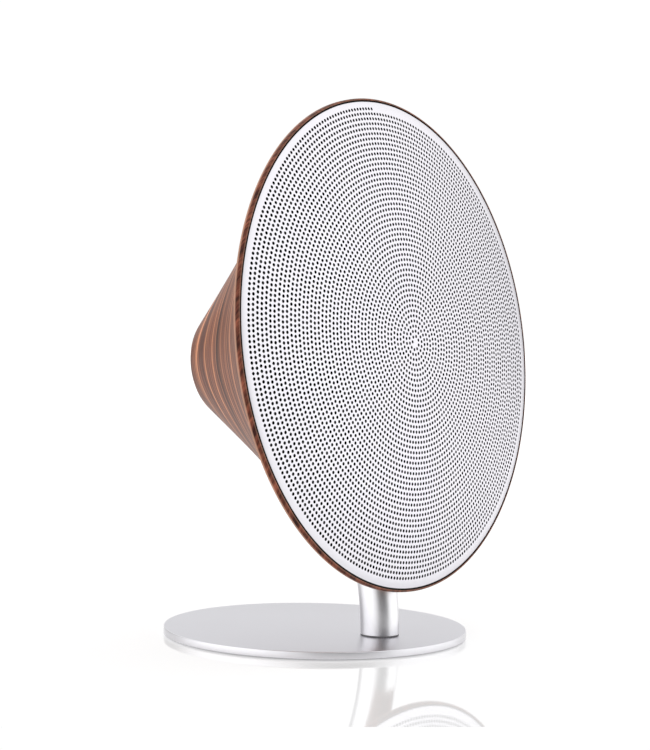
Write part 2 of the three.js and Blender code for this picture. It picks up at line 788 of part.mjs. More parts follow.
// ---------------------------------------------------------------- the leads

function leadPieces() {
  const red = () => finish(0x8c1f1f, 0.5, 0);
  const basketSide = -(basketWall(terminalDepth) + 1.6);
  const magnetSide = -(magnetRadius + 3);
  const holderEnd = holderLength / 2;
  const roundCell = (degrees) => {
    const [y, z] = polar(CELL_RADIUS + 4, degrees);
    return [0, cellSpacing / 2 + y, cellDepth + z];
  };
  const wooferLead = [
    [basketSide, 0, terminalDepth],
    [Math.min(basketSide, magnetSide) - 1, 0, topPlateFront + 2],
    [magnetSide - 1, 0, boardFront - 8],
    [magnetSide, 0, boardFront - 1.2],
  ];
  const tweeterLead = [
    [0, tweeterSpot - 6, 16.8],
    [0, tweeterSpot - 12, 26],
    [0, boardRadius + 2, 38],
    [0, boardRadius - 6, boardFront - 3],
  ];
  const controlLead = [
    [0, boardRadius - 10, boardBack + 1.3],
    roundCell(0),
    roundCell(50),
    [0, cellSpacing / 2, controlFront - 1.4],
  ];
  const batteryLead = [
    [holderEnd + 1.2, 0, cellDepth - 3],
    [holderEnd + 3, -4, cellDepth - 5],
    [holderEnd + 3, -9, boardBack + 1.2],
  ];
  piece("woofer_lead", wire(wooferLead, 0.9), red());
  piece("tweeter_lead", wire(tweeterLead, 0.9), red());
  piece("control_lead", wire(controlLead, 1), blackPlastic());
  piece("battery_lead", wire(batteryLead, 0.9), red());
}

// ---------------------------------------------------------------- the stand

const boltRadius = 3;
const boltLength = 13;
const dowelRadius = 1.2;
const dowelReach = 6.7;
const padPocket = PAD_THICKNESS + SEAT_GAP;
const boltHeadRadius = 4.6;
const boltHeadTop = BASE_TOP - 0.3;

function basePlate() {
  const bevel = 0.5;
  const body = turned(
    [
      [0, padPocket],
      [PAD_RADIUS + 0.5, padPocket],
      [PAD_RADIUS + 0.5, BASE_GAP],
      [BASE_RADIUS - bevel, BASE_GAP],
      [BASE_RADIUS, BASE_GAP + bevel],
      [BASE_RADIUS, BASE_TOP - bevel],
      [BASE_RADIUS - bevel, BASE_TOP],
      [0, BASE_TOP],
    ],
    FINE,
  );
  const countersink = turned(
    [
      [0, padPocket - 1],
      [boltHeadRadius + HOLE_GAP, padPocket - 1],
      [boltHeadRadius + HOLE_GAP, padPocket + 0.3],
      [boltRadius + HOLE_GAP, boltHeadTop],
      [boltRadius + HOLE_GAP, BASE_TOP + 1],
      [0, BASE_TOP + 1],
    ],
    16,
  ).translate(0, POST_SETBACK, 0);
  const dowelHole = rod(dowelRadius + 0.1, padPocket - 1, BASE_TOP + 1, 0, POST_SETBACK + dowelReach);
  return cut(body, countersink, dowelHole);
}

function post() {
  const curve = new THREE.Curve();
  const endAngle = meetingAngle + (2 * POST_RADIUS) / POST_BEND_RADIUS;
  curve.getPoint = (share, target = new THREE.Vector3()) => target.copy(postPoint(share * endAngle));
  const bar = swept(curve, POST_RADIUS, 20, 6);
  const hornTool = filledHorn(SEAT_GAP).applyMatrix4(horn.matrixWorld);
  const tenon = disc(tenonRadius, -10, jointReach - 0.4, SMALL).applyMatrix4(jointFrame);
  const topHole = rod(2.5 + HOLE_GAP, jointReach - 15, jointReach + 1).applyMatrix4(jointFrame);
  const bottomHole = rod(boltRadius + HOLE_GAP, 0, postFoot + boltLength, 0, POST_SETBACK, 12);
  const dowelHole = rod(dowelRadius + 0.1, 0, postFoot + 7, 0, POST_SETBACK + dowelReach);
  return cut(join(cut(bar, hornTool), tenon), topHole, bottomHole, dowelHole);
}

function postGasket() {
  const plate = rod(POST_RADIUS - 0.3, BASE_TOP + FACE_GAP, postFoot - FACE_GAP, 0, POST_SETBACK, 16);
  const boltHole = rod(boltRadius + HOLE_GAP, 0, 10, 0, POST_SETBACK, 12);
  const dowelHole = rod(dowelRadius + 0.1, 0, 10, 0, POST_SETBACK + dowelReach);
  return cut(plate, boltHole, dowelHole);
}

function standPieces() {
  piece("foot_pad", disc(PAD_RADIUS, 0, PAD_THICKNESS, FINE), rubber(), loudspeaker);
  piece("base_plate", basePlate(), satinAluminium(), loudspeaker);
  piece("post_gasket", postGasket(), rubber(), loudspeaker);
  piece("post", post(), satinAluminium(), loudspeaker);
  const bolt = turned(
    [
      [0, padPocket + 0.1],
      [boltHeadRadius, padPocket + 0.1],
      [boltRadius, boltHeadTop - 0.2],
      [boltRadius, postFoot + boltLength - 1],
      [0, postFoot + boltLength - 1],
    ],
    12,
  ).translate(0, POST_SETBACK, 0);
  piece("post_bolt", bolt, steel(), loudspeaker);
  const dowel = rod(dowelRadius, padPocket + 0.2, postFoot + 6, 0, POST_SETBACK + dowelReach);
  piece("post_dowel", dowel, steel(), loudspeaker);
  const washer = ring(2.5 + HOLE_GAP, 10, jointReach + SEAT_GAP, jointReach + 1.9, SMALL);
  piece("horn_washer", washer.applyMatrix4(jointFrame), steel(), loudspeaker);
  const hornBolt = screwShape(4.5, 3.6, 2.5, 15).rotateX(Math.PI);
  hornBolt.translate(0, 0, jointReach + 2.2).applyMatrix4(jointFrame);
  piece("horn_bolt", hornBolt, steel(), loudspeaker);
}

// ---------------------------------------------------------------- the assembly

piece("horn_shell", shell(), woodLook());
mouthPieces();
bafflePieces();
wooferPieces();
tweeterPieces();
powerPieces();
rearPieces();
leadPieces();
standPieces();

export default loudspeaker;
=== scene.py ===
"""The looks of a horn-shaped table loudspeaker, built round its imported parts.

Laid out as an add-on and run as a script. Sizes are in metres.
"""

import json
import math

import bpy
import numpy as np
from bpy.props import FloatProperty, FloatVectorProperty, IntProperty, PointerProperty
from bpy.types import Operator, Panel, PropertyGroup
from mathutils import Matrix, Vector
from mathutils.geometry import delaunay_2d_cdt


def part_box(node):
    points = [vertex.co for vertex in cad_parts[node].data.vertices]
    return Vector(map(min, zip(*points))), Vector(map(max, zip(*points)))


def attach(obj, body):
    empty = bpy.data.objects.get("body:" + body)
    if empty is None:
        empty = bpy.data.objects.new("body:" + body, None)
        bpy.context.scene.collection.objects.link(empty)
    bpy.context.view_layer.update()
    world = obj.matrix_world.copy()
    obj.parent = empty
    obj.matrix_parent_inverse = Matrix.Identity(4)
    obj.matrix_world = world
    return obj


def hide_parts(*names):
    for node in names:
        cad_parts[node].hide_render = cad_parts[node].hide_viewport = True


bl_info = {
    "name": "Horn loudspeaker",
    "version": (1, 0, 0),
    "blender": (4, 5, 0),
    "location": "3D View > Sidebar > Loudspeaker",
    "description": "Builds a wooden horn, its pierced grille, its controls and its metal stand",
    "category": "Object",
}

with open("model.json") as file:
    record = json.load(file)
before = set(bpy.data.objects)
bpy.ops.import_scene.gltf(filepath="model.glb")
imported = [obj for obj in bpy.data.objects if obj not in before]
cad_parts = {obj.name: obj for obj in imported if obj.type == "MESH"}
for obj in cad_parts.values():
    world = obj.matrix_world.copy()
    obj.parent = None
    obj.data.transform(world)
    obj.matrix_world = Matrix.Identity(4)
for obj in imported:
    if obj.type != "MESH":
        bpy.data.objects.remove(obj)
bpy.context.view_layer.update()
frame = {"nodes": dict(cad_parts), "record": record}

MM = 0.001
# Near-black painted shade for the gap between the grille's edge and the wood.
GAP_PAINTED_SHADE = (0.004, 0.004, 0.004)
# Near-black painted shade for the grille's holes.
HOLE_PAINTED_SHADE = (0.004, 0.004, 0.005)

HORN_LOW, HORN_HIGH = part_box("horn_shell")
BASE_LOW, BASE_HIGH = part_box("base_plate")
PAD_LOW, PAD_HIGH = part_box("foot_pad")
POST_LOW, POST_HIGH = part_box("post")


def half_width(low, high):
    return (high.x - low.x) / 2


def length(label, millimetres, note):
    """A length that a user may change, given in millimetres."""
    return FloatProperty(
        name=label, description=note, default=millimetres * MM, unit="LENGTH", precision=5
    )


def plain(label, value, note):
    """A number without a unit."""
    return FloatProperty(name=label, description=note, default=value, precision=4)


def colour(label, value, note):
    return FloatVectorProperty(
        name=label, description=note, default=value, subtype="COLOR", size=3, min=0, max=1
    )


# ---------------------------------------------------------------- sizes and colours


class HornSizes(PropertyGroup):
    """The horn's outline and the way it leans back."""

    rim_radius: length("Rim radius", half_width(HORN_LOW, HORN_HIGH) / MM, "Outside of the mouth")
    horn_length: length("Length", 106.4, "Along the axis, from the rim to the tip")
    tip_radius: length("Tip radius", 25.1, "Of the cone where it meets the tip")
    tilt: FloatProperty(
        name="Tilt", description="Lean of the axis", default=math.radians(7.2), subtype="ANGLE"
    )
    setback: length("Setback", -44.55, "Of the mouth's centre, along Y")
    rim_clearance: length("Rim clearance", 23, "From the base up to the rim")
    flare_rise: length("Flare rise", 13.1, "How far the rim stands out of the straight cone")
    flare_overshoot: length("Flare overshoot", 2.65, "Start of the flare outside the rim")
    flare_reach: length("Flare reach", 18.5, "Depth in which the flare dies away")
    band: length("Rim band", 3.1, "Depth of the straight band round the rim")
    band_corner: length("Band corner", 0.6, "Radius of the band's rear corner")
    shoulder: length("Shoulder", 5.2, "Depth at which the shoulder behind the band ends")
    wall: length("Wall", 2.6, "Thickness of the wood")
    lip_round: length("Lip round", 0.7, "Radius of the rim's round edge")
    lip_width: length("Lip width", 1, "Width of the rim in front")
    tip_round: length("Tip round", 5, "Radius of the round at the tip")
    sides: IntProperty(name="Sides", description="Facets round the horn", default=288)

    def cone_front(self):
        return self.rim_radius - self.flare_rise

    def cone_slope(self):
        return (self.cone_front() - self.tip_radius) / self.horn_length

    def flare(self, depth):
        return (self.flare_rise + self.flare_overshoot) * math.exp(-depth / self.flare_reach)

    def outer_radius(self, depth):
        return self.cone_front() - self.cone_slope() * depth + self.flare(depth)

    def outer_slope(self, depth):
        return self.cone_slope() + self.flare(depth) / self.flare_reach

    def inner_radius(self, depth):
        return self.outer_radius(depth) - self.wall * math.hypot(1, self.outer_slope(depth))

    def mouth_height(self):
        return BASE_HIGH.z + self.rim_clearance + self.rim_radius * math.cos(self.tilt)

    def placing(self):
        """The horn's own frame: +Z back along the axis, +Y up, +X to the right from behind."""
        cosine, sine = math.cos(self.tilt), math.sin(self.tilt)
        turn = Matrix(((-1, 0, 0), (0, sine, cosine), (0, cosine, -sine)))
        return Matrix.Translation((0, self.setback, self.mouth_height())) @ turn.to_4x4()


class GrilleSizes(PropertyGroup):
    """The domed sheet and its spiral of holes."""

    shadow_gap: length("Shadow gap", 0.5, "Between the grille's edge and the wood")
    dome_height: length("Dome height", 10.45, "At the middle")
    dome_power: plain("Dome power", 2.2, "How flat the middle of the dome is")
    sheet: length("Sheet", 0.8, "Thickness of the metal")
    edge_round: length("Edge round", 0.35, "Radius of the outer edge")
    pitch: length("Pitch", 2.4, "From one turn of the spiral to the next")
    step: length("Step", 2.277, "From hole to hole along the spiral")
    hole_radius: length("Hole radius", 0.79, "Of the round holes")
    first_radius: length("First hole", 1.9, "Distance of the first hole from the middle")
    last_radius: length("Last hole", 110.506, "Distance of the last hole from the middle")
    phase: plain("Phase", 0.301, "Where the spiral starts, in turns")
    cloth: length("Cloth", 0.4, "Thickness of the acoustic cloth")
    cloth_gap: length("Cloth gap", 0.3, "Between the sheet and the cloth")

    def dome_rise(self, radius, edge):
        return self.dome_height * (1 - (radius / edge) ** self.dome_power)


class StandSizes(PropertyGroup):
    """The base plate, the bent post and what lies under them."""

    base_radius: length("Base radius", half_width(BASE_LOW, BASE_HIGH) / MM, "Of the plate")
    base_bevel: length("Base bevel", 0.45, "Width of the bright edge")
    pad_radius: length("Pad radius", half_width(PAD_LOW, PAD_HIGH) / MM, "Of the rubber foot")
    pad_groove: length("Pad groove", 0.35, "Depth of the grooves under the foot")
    post_radius: length("Post radius", half_width(POST_LOW, POST_HIGH) / MM, "Of the round bar")
    post_setback: length("Post setback", -38.3, "Of the post's foot, along Y")
    post_bend: length("Post bend", 125, "Radius of the post's curve")
    gasket: length("Gasket", 0.4, "Thickness of the ring under the post")
    face_gap: length("Face gap", 0.05, "Between flat faces that rest on each other")
    foot_bevel: length("Foot bevel", 0.3, "Bright edge at the post's foot")


class RearSizes(PropertyGroup):
    """The plug in the horn's tip and its controls."""

    plate: length("Plate", 1.5, "Thickness of the panel")
    sunk: length("Sunk", 0.1, "How far the panel lies behind the tip's edge")
    button_radius: length("Button radius", 3, "Of the small buttons")
    travel: length("Travel", 0.8, "How far a button moves")
    rise: length("Rise", 1, "How far a button stands out")
    slide_gap: length("Slide gap", 0.3, "Round a button")
    mark_height: length("Mark height", 0.08, "Of the printed marks")


class Finishes(PropertyGroup):
    """Colours of the materials."""

    wood_dark: colour("Dark grain", (0.055, 0.016, 0.010), "Darkest streaks of the wood")
    wood_middle: colour("Middle grain", (0.225, 0.074, 0.036), "Body of the wood")
    wood_light: colour("Light grain", (0.560, 0.230, 0.115), "Lightest streaks of the wood")
    # Painted highlight on the band's rear corner and the lip, where the round edges catch the
    # light.
    wood_painted_highlight: colour("Highlighted edges", (0.640, 0.370, 0.260), "The rim's rubbed edges")
    band_dark: colour("Band's dark grain", (0.050, 0.012, 0.008), "Dark patches round the rim")
    band_light: colour("Band's light grain", (0.230, 0.070, 0.040), "Light patches round the rim")
    # Darker than the post's aluminium of the same kind: painted shade on the plate.
    base: colour("Base", (0.635, 0.63, 0.67), "Anodised base plate")
    # Bright turned edge: partly real, partly a painted highlight on the bevels and the side band.
    cut_edge_and_highlight: colour("Cut edge", (0.85, 0.845, 0.875), "The base plate's bright turned edge")
    # Lighter than the base's aluminium of the same kind: painted highlight on the post.
    post: colour("Post", (0.93, 0.925, 0.945), "Anodised post")
    grille: colour("Grille", (0.90, 0.885, 0.93), "Pierced sheet")
    plastic: colour("Plastic", (0.012, 0.012, 0.014), "Moulded parts")
    rubber: colour("Rubber", (0.018, 0.018, 0.020), "Buttons and foot")
    cloth: colour("Cloth", (0.006, 0.006, 0.007), "Acoustic cloth")
    mark: colour("Marks", (0.72, 0.72, 0.74), "Printed marks on the buttons")


class StageSettings(PropertyGroup):
    """The camera, the floor and the light."""

    focal: plain("Focal length", 94.46, "In millimetres on a 36 mm sensor")
    eye: FloatVectorProperty(
        name="Eye",
        description="Where the camera stands",
        default=(-0.7574, -0.5699, 0.1591),
        subtype="XYZ",
        size=3,
    )
    right: FloatVectorProperty(
        name="Right", description="The camera's right", default=(0.5996, -0.8, 0.0197), size=3
    )
    up: FloatVectorProperty(
        name="Up", description="The camera's up", default=(0.0167, 0.0372, 0.9992), size=3
    )
    room: plain("Room light", 1.0, "Strength of the white surroundings")
    table_dip: FloatProperty(
        name="Table dip",
        description="From the camera's axis down to the table's near edge",
        default=math.radians(10.14),
        subtype="ANGLE",
    )
    table_glow: plain("Table glow", 0.31, "Light that the lit table gives")


# ---------------------------------------------------------------- making meshes


def new_piece(name, points, faces, placing=None, sharp=35):
    """A smooth mesh object, with edges steeper than the given degrees kept sharp."""
    mesh = bpy.data.meshes.new(name)
    mesh.from_pydata(points, [], faces)
    if placing is not None:
        mesh.transform(placing)
    piece = bpy.data.objects.new(name, mesh)
    bpy.context.scene.collection.objects.link(piece)
    soften(piece, sharp)
    return piece


def soften(piece, sharp=35):
    mesh = piece.data
    mesh.polygons.foreach_set("use_smooth", [True] * len(mesh.polygons))
    mesh.set_sharp_from_angle(angle=math.radians(sharp))
    mesh.validate()


def turned(name, outline, sides, placing=None):
    """A solid of revolution about Z. The outline's (radius, z) points run counter-clockwise,
    and it is closed along the axis if it starts and ends there."""
    on_axis = outline[0][0] == 0 and outline[-1][0] == 0
    points, rings, faces = [], [], []
    angles = [2 * math.pi * side / sides for side in range(sides)]
    for radius, z in outline:
        if radius == 0:
            rings.append([len(points)] * sides)
            points.append((0, 0, z))
        else:
            rings.append(list(range(len(points), len(points) + sides)))
            points += [(radius * math.cos(a), radius * math.sin(a), z) for a in angles]
    pairs = list(zip(rings, rings[1:]))
    if not on_axis:
        pairs.append((rings[-1], rings[0]))
    for lower, upper in pairs:
        for side in range(sides):
            following = (side + 1) % sides
            corners = (lower[side], lower[following], upper[following], upper[side])
            face = tuple(dict.fromkeys(corners))
            if len(face) > 2:
                faces.append(face)
    return new_piece(name, points, faces, placing)


def disc(radius, low, high):
    return [(0, low), (radius, low), (radius, high), (0, high)]


def hole(radius, low, high, sides, place):
    """A straight round cutter."""
    return turned("hole", disc(radius, low, high), sides, place)


def arc(centre, radius, start, end, count):
    """Points on an arc, from one angle to another in degrees."""
    angles = [math.radians(start + (end - start) * step / count) for step in range(count + 1)]
    return [(centre[0] + radius * math.cos(a), centre[1] + radius * math.sin(a)) for a in angles]


def lower_corner(x, z, radius, count):
    """A round corner of a turned outline, at its outside and its low end."""
    return arc((x - radius, z + radius), radius, -90, 0, count)


def upper_corner(x, z, radius, count):
    return arc((x - radius, z - radius), radius, 0, 90, count)


def polar(radius, degrees):
    angle = math.radians(degrees)
    return radius * math.cos(angle), radius * math.sin(angle)


def extruded(name, outline, low, high, placing=None):
    """A straight solid over a flat outline whose points run counter-clockwise."""
    count = len(outline)
    points = [(x, y, low) for x, y in outline] + [(x, y, high) for x, y in outline]
    sides = [(k, (k + 1) % count, (k + 1) % count + count, k + count) for k in range(count)]
    ends = [tuple(reversed(range(count))), tuple(range(count, 2 * count))]
    return new_piece(name, points, sides + ends, placing)


def stadium(width, height, centre=(0, 0), count=12):
    """A flat outline with round ends."""
    round_end = height / 2
    straight = width / 2 - round_end
    right_end = arc((centre[0] + straight, centre[1]), round_end, -90, 90, count)
    left_end = arc((centre[0] - straight, centre[1]), round_end, 90, 270, count)
    return right_end + left_end


def combine(piece, operation, *tools):
    """Cuts, joins or trims a closed mesh with others, which are then gone."""
    for tool in tools:
        change = piece.modifiers.new(operation, "BOOLEAN")
        change.operation = operation
        change.solver = "MANIFOLD"
        change.object = tool
    bpy.context.view_layer.update()
    graph = bpy.context.evaluated_depsgraph_get()
    mesh = bpy.data.meshes.new_from_object(piece.evaluated_get(graph))
    if not mesh.polygons:
        raise RuntimeError(f"{piece.name}: nothing is left after {operation}")
    piece.modifiers.clear()
    piece.data = mesh
    for tool in tools:
        bpy.data.objects.remove(tool)
    soften(piece)
    return piece


def merged(name, pieces):
    """One object of several meshes that don't touch. The pieces are then gone."""
    points, faces = [], []
    for piece in pieces:
        start = len(points)
        points += [vertex.co for vertex in piece.data.vertices]
        faces += [tuple(start + v for v in face.vertices) for face in piece.data.polygons]
    for piece in pieces:
        bpy.data.objects.remove(piece)
    return new_piece(name, points, faces)


def finish_piece(piece, material, slot, *nodes, body="stand_and_horn"):
    """Gives a piece its material, its body and the parts that it stands for."""
    piece.data.materials.clear()
    piece.data.materials.append(material)
    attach(piece, body)
    if nodes:
        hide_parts(*nodes)
    return piece


class Build:
    """What the building operators share."""

    def execute(self, context):
        self.build(context.scene)
        return {"FINISHED"}


# ---------------------------------------------------------------- making materials


class Nodes:
    """An empty node tree to fill."""

    def __init__(self, owner):
        owner.use_nodes = True
        self.tree = owner.node_tree
        self.tree.nodes.clear()

    def node(self, kind, inputs=(), **settings):
        """A node with its settings, and its inputs linked or set by name or number."""
        made = self.tree.nodes.new(kind)
        for label, value in settings.items():
            setattr(made, label, value)
        for label, value in dict(inputs).items():
            self.put(made.inputs[label], value)
        return made

    def put(self, socket, value):
        if isinstance(value, bpy.types.NodeSocket):
            self.tree.links.new(value, socket)
        else:
            socket.default_value = value

    def step(self, value, start, end):
        """A smooth step from nought at the start to one at the end."""
        inputs = {"Value": value, "From Min": start, "From Max": end}
        made = self.node("ShaderNodeMapRange", inputs, interpolation_type="SMOOTHSTEP")
        return made.outputs[0]


class Shader(Nodes):
    """A material's node tree, with its principled shader and its output in place."""

    def __init__(self, name, **values):
        self.material = bpy.data.materials.new(name)
        super().__init__(self.material)
        self.surface = self.node("ShaderNodeBsdfPrincipled")
        self.node("ShaderNodeOutputMaterial", {"Surface": self.surface.outputs[0]})
        for label, value in values.items():
            self.surface.inputs[label.replace("_", " ")].default_value = value
        self.place = self.node("ShaderNodeTexCoord").outputs["Object"]

    def from_horn(self, placing):
        """Coordinates from here on are in the horn's own frame."""
        inputs = {
            "Vector": self.place,
            "Location": placing.to_translation(),
            "Rotation": placing.to_euler(),
        }
        self.place = self.node("ShaderNodeMapping", inputs, vector_type="TEXTURE").outputs[0]
        apart = self.node("ShaderNodeSeparateXYZ", {0: self.place})
        self.x, self.y, self.depth = apart.outputs

    def math(self, operation, *values):
        inputs = dict(enumerate(values))
        return self.node("ShaderNodeMath", inputs, operation=operation).outputs[0]

    def squares(self, x, y):
        """The sum of two squares."""
        return self.math("ADD", self.math("POWER", x, 2.0), self.math("POWER", y, 2.0))

    def set(self, label, value):
        self.put(self.surface.inputs[label], value)

    def noise(self, scale, detail=2.0, place=None):
        """Noise whose grain runs to one over the scale along each axis, in metres."""
        inputs = {"Vector": self.place if place is None else place, "Scale": scale}
        stretched = self.node("ShaderNodeMapping", inputs).outputs[0]
        inputs = {"Vector": stretched, "Scale": 1.0, "Detail": detail}
        return self.node("ShaderNodeTexNoise", inputs).outputs["Fac"]

    def ramp(self, factor, *stops):
        """A colour ramp through (position, colour or grey) stops."""
        made = self.node("ShaderNodeValToRGB", {"Fac": factor})
        elements = made.color_ramp.elements
        while len(elements) < len(stops):
            elements.new(0.5)
        for element, (position, value) in zip(elements, stops):
            element.position = position
            shade = (value,) * 3 if isinstance(value, (int, float)) else tuple(value)
            element.color = (*shade, 1)
        return made.outputs["Color"]

    def mix(self, factor, first, second, blend="MIX"):
        inputs = {0: factor}
        for number, value in ((6, first), (7, second)):
            inputs[number] = (*value, 1) if isinstance(value, tuple) else value
        settings = {"data_type": "RGBA", "blend_type": blend}
        return self.node("ShaderNodeMix", inputs, **settings).outputs[2]

    def spread(self, factor, low, high):
        """The factor from nought to one, spread from low to high."""
        inputs = {"Value": factor, "To Min": low, "To Max": high}
        return self.node("ShaderNodeMapRange", inputs).outputs[0]

    def bump(self, height, strength, distance):
        inputs = {"Height": height, "Strength": strength, "Distance": distance}
        self.set("Normal", self.node("ShaderNodeBump", inputs).outputs[0])


def shades(value, *factors):
    """A colour made darker and lighter by some factors."""
    return [tuple(min(1, part * factor) for part in value) for factor in factors]


def flank_veneer(made, finishes):
    """The grain of the horn's outside and its finer streaks: it lies in upright planes along the
    horn's axis, and wanders a little."""
    wander = made.math("MULTIPLY", made.noise((60, 22, 16)), 0.005)
    lean = made.math("MULTIPLY_ADD", made.noise((9, 3.5, 2.5), 1.0), 0.02, wander)
    shift = made.node("ShaderNodeCombineXYZ", {0: lean}).outputs[0]
    inputs = {0: made.place, 1: shift}
    flank = made.node("ShaderNodeVectorMath", inputs, operation="ADD").outputs[0]
    bands = made.noise((420, 4, 3), 3.0, flank)
    streaks = made.noise((1250, 14, 9), 3.0, flank)
    fibres = made.noise((3400, 60, 30), 2.0, flank)
    dark, middle, light = finishes.wood_dark, finishes.wood_middle, finishes.wood_light
    body = made.ramp(bands, (0.34, dark), (0.44, middle), (0.53, middle), (0.62, light))
    lines = made.ramp(streaks, (0.36, 0.32), (0.46, 0.9), (0.54, 1.05), (0.65, 1.8))
    threads = made.ramp(fibres, (0.3, 0.75), (0.5, 1.0), (0.7, 1.2))
    grained = made.mix(0.85, body, lines, "MULTIPLY")
    return made.mix(0.7, grained, threads, "MULTIPLY"), streaks, fibres


def rim_veneer(made, finishes, horn):
    """The grain of the rim's band, which slants across it."""
    angle = made.math("ARCTAN2", made.y, made.x)
    slant = made.math("MULTIPLY_ADD", angle, horn.rim_radius, made.depth)
    rim = made.node("ShaderNodeCombineXYZ", {0: slant, 1: made.depth}).outputs[0]
    patches = made.noise((150, 60, 1), 2.0, rim)
    strokes = made.noise((520, 160, 1), 3.0, rim)
    worn = made.ramp(patches, (0.38, finishes.band_dark), (0.60, finishes.band_light))
    stroked = made.ramp(strokes, (0.36, 0.35), (0.5, 1.0), (0.64, 1.7))
    return made.mix(0.9, worn, stroked, "MULTIPLY")


def wood(finishes, horn):
    """Satin veneer. The band's corner and the lip are painted lighter as a highlight, and the
    grille's seat is painted black as the shade in the gap.
    """
    made = Shader("wood_veneer")
    made.from_horn(horn.placing())
    depth, band = made.depth, horn.band
    veneer, streaks, fibres = flank_veneer(made, finishes)
    on_flank = made.step(depth, band, band + 2 * MM)
    shaded = made.mix(on_flank, rim_veneer(made, finishes, horn), veneer)
    # Painted highlight: the band's rear corner and the lip's edge are mixed toward a lighter
    # colour.
    before = made.step(depth, band - 1.6 * MM, band - 0.8 * MM)
    behind = made.step(depth, band + 0.9 * MM, band + 0.2 * MM)
    corner = made.math("MULTIPLY", before, behind)
    lip = made.math("MULTIPLY", made.step(depth, 0.3 * MM, 0.08 * MM), 0.22)
    edges = made.math("MULTIPLY_ADD", corner, 0.75, lip)
    painted_highlight = made.mix(edges, shaded, tuple(finishes.wood_painted_highlight))
    # Painted shade: the grille's seat inside the lip is coloured near-black as the gap's shade.
    inner = horn.rim_radius - horn.lip_width
    start, end = inner + 0.12 * MM, inner + 0.04 * MM
    inside = made.step(made.squares(made.x, made.y), start**2, end**2)
    seat = made.math("MULTIPLY", inside, made.step(depth, 3 * MM, 2.6 * MM))
    made.set("Base Color", made.mix(seat, painted_highlight, GAP_PAINTED_SHADE))
    made.set("Specular IOR Level", made.spread(on_flank, 0.10, 0.14))
    made.set("Roughness", made.spread(streaks, 0.46, 0.32))
    made.bump(fibres, 0.12, 0.00008)
    return made.material


def satin_metal(name, base, roughness, grain=5200, strength=0.06, cover=None):
    """Blasted and anodised metal: a fine even grain and faint clouds. The cover, if any, gives
    a mask and the colour that it lets through."""
    made = Shader(name, Metallic=1.0)
    mask = cover and cover(made)
    specks = made.noise((grain,) * 3)
    tone = made.mix(made.noise((38,) * 3, 3.0), *shades(base, 0.965, 1.0))
    made.set("Base Color", made.mix(mask[0], tone, mask[1]) if mask else tone)
    made.set("Roughness", made.spread(specks, roughness - 0.05, roughness + 0.05))
    made.bump(specks, strength, 0.00004)
    return made.material


def cut_edge_and_highlight(made, radius, tone):
    """The edge of a disc about Z, turned bright after anodising; the lighter colour over the bevels
    and the side band is partly a painted highlight.
    """
    x, y, _ = made.node("ShaderNodeSeparateXYZ", {0: made.place}).outputs
    start, end = radius - 0.45 * MM, radius - 0.2 * MM
    return made.step(made.squares(x, y), start**2, end**2), tuple(tone)


def hole_walls(made, horn, grille, edge):
    """What lies just behind the grille's domed front is painted black, as the shade in the holes.
    """
    made.from_horn(horn.placing())
    share = made.math("MULTIPLY", made.squares(made.x, made.y), edge**-2)
    share = made.math("POWER", share, grille.dome_power / 2)
    front = made.math("MULTIPLY_ADD", share, -grille.dome_height, grille.dome_height)
    behind = made.math("ADD", front, made.depth)
    return made.step(behind, 0.04 * MM, 0.12 * MM), HOLE_PAINTED_SHADE


def moulded(name, base, roughness, grain=2600, strength=0.15, **values):
    """Moulded plastic or rubber with a fine spark-eroded texture."""
    made = Shader(name, **values)
    specks = made.noise((grain,) * 3)
    clouds = made.noise((60,) * 3)
    made.set("Base Color", made.mix(clouds, *shades(base, 0.85, 1.15)))
    made.set("Roughness", made.spread(specks, roughness - 0.08, roughness + 0.08))
    made.bump(specks, strength, 0.00006)
    return made.material


def woven(name, base, threads, strength=0.5):
    """Plain cloth with crossing threads, at that many threads to the metre."""
    made = Shader(name, Roughness=0.95, Sheen_Weight=0.15)
    turn = math.tau * threads / 20
    sets = []
    for direction in ("X", "Z"):
        inputs = {"Vector": made.place, "Scale": turn}
        band = made.node("ShaderNodeTexWave", inputs, bands_direction=direction)
        sets.append(band.outputs["Fac"])
    cross = made.math("MULTIPLY", *sets)
    made.set("Base Color", made.mix(cross, *shades(base, 0.5, 1.6)))
    made.bump(cross, strength, 0.0001)
    return made.material


def circuit_board(name="board"):
    """Green solder mask over copper tracks."""
    made = Shader(name, Roughness=0.35, Coat_Weight=0.3)
    inputs = {"Vector": made.place, "Scale": 260.0}
    tracks = made.node("ShaderNodeTexBrick", inputs)
    line = made.ramp(tracks.outputs["Fac"], (0.4, 0.0), (0.6, 1.0))
    made.set("Base Color", made.mix(line, (0.012, 0.075, 0.032), (0.03, 0.15, 0.06)))
    made.bump(tracks.outputs["Fac"], 0.3, 0.00004)
    return made.material


def wound(name, base, turns):
    """Fine enamelled wire wound in turns along the horn's axis."""
    made = Shader(name, Metallic=0.9, Roughness=0.3)
    inputs = {"Vector": made.place, "Scale": turns * math.tau / 20, "Distortion": 0.4}
    wave = made.node("ShaderNodeTexWave", inputs, bands_direction="Y").outputs["Fac"]
    made.set("Base Color", made.mix(wave, *shades(base, 0.6, 1.1)))
    made.bump(wave, 0.5, 0.0001)
    return made.material


# ---------------------------------------------------------------- the horn


MOUTH_DEPTH = 4.5 * MM
PANEL_GAP = 0.3 * MM
PANEL_FLANGE = 1.4 * MM
SCREW_HOLE = 1.7 * MM
TENON_RADIUS = 6 * MM
TENON_GAP = 0.3 * MM
BOSS_RADIUS = 11 * MM
BOSS_START = -18 * MM
BOLT_HOLE = 3.3 * MM
DOWEL_HOLE = 1.3 * MM
DOWEL_REACH = 6.7 * MM


def grille_edge(scene):
    """The grille's radius at its edge."""
    horn, grille = scene.horn_sizes, scene.grille_sizes
    return horn.rim_radius - horn.lip_width - grille.shadow_gap


def depths_between(start, end, count):
    """Depths that lie closer together where the flare bends."""
    return [start + (end - start) * (step / count) ** 1.6 for step in range(count + 1)]


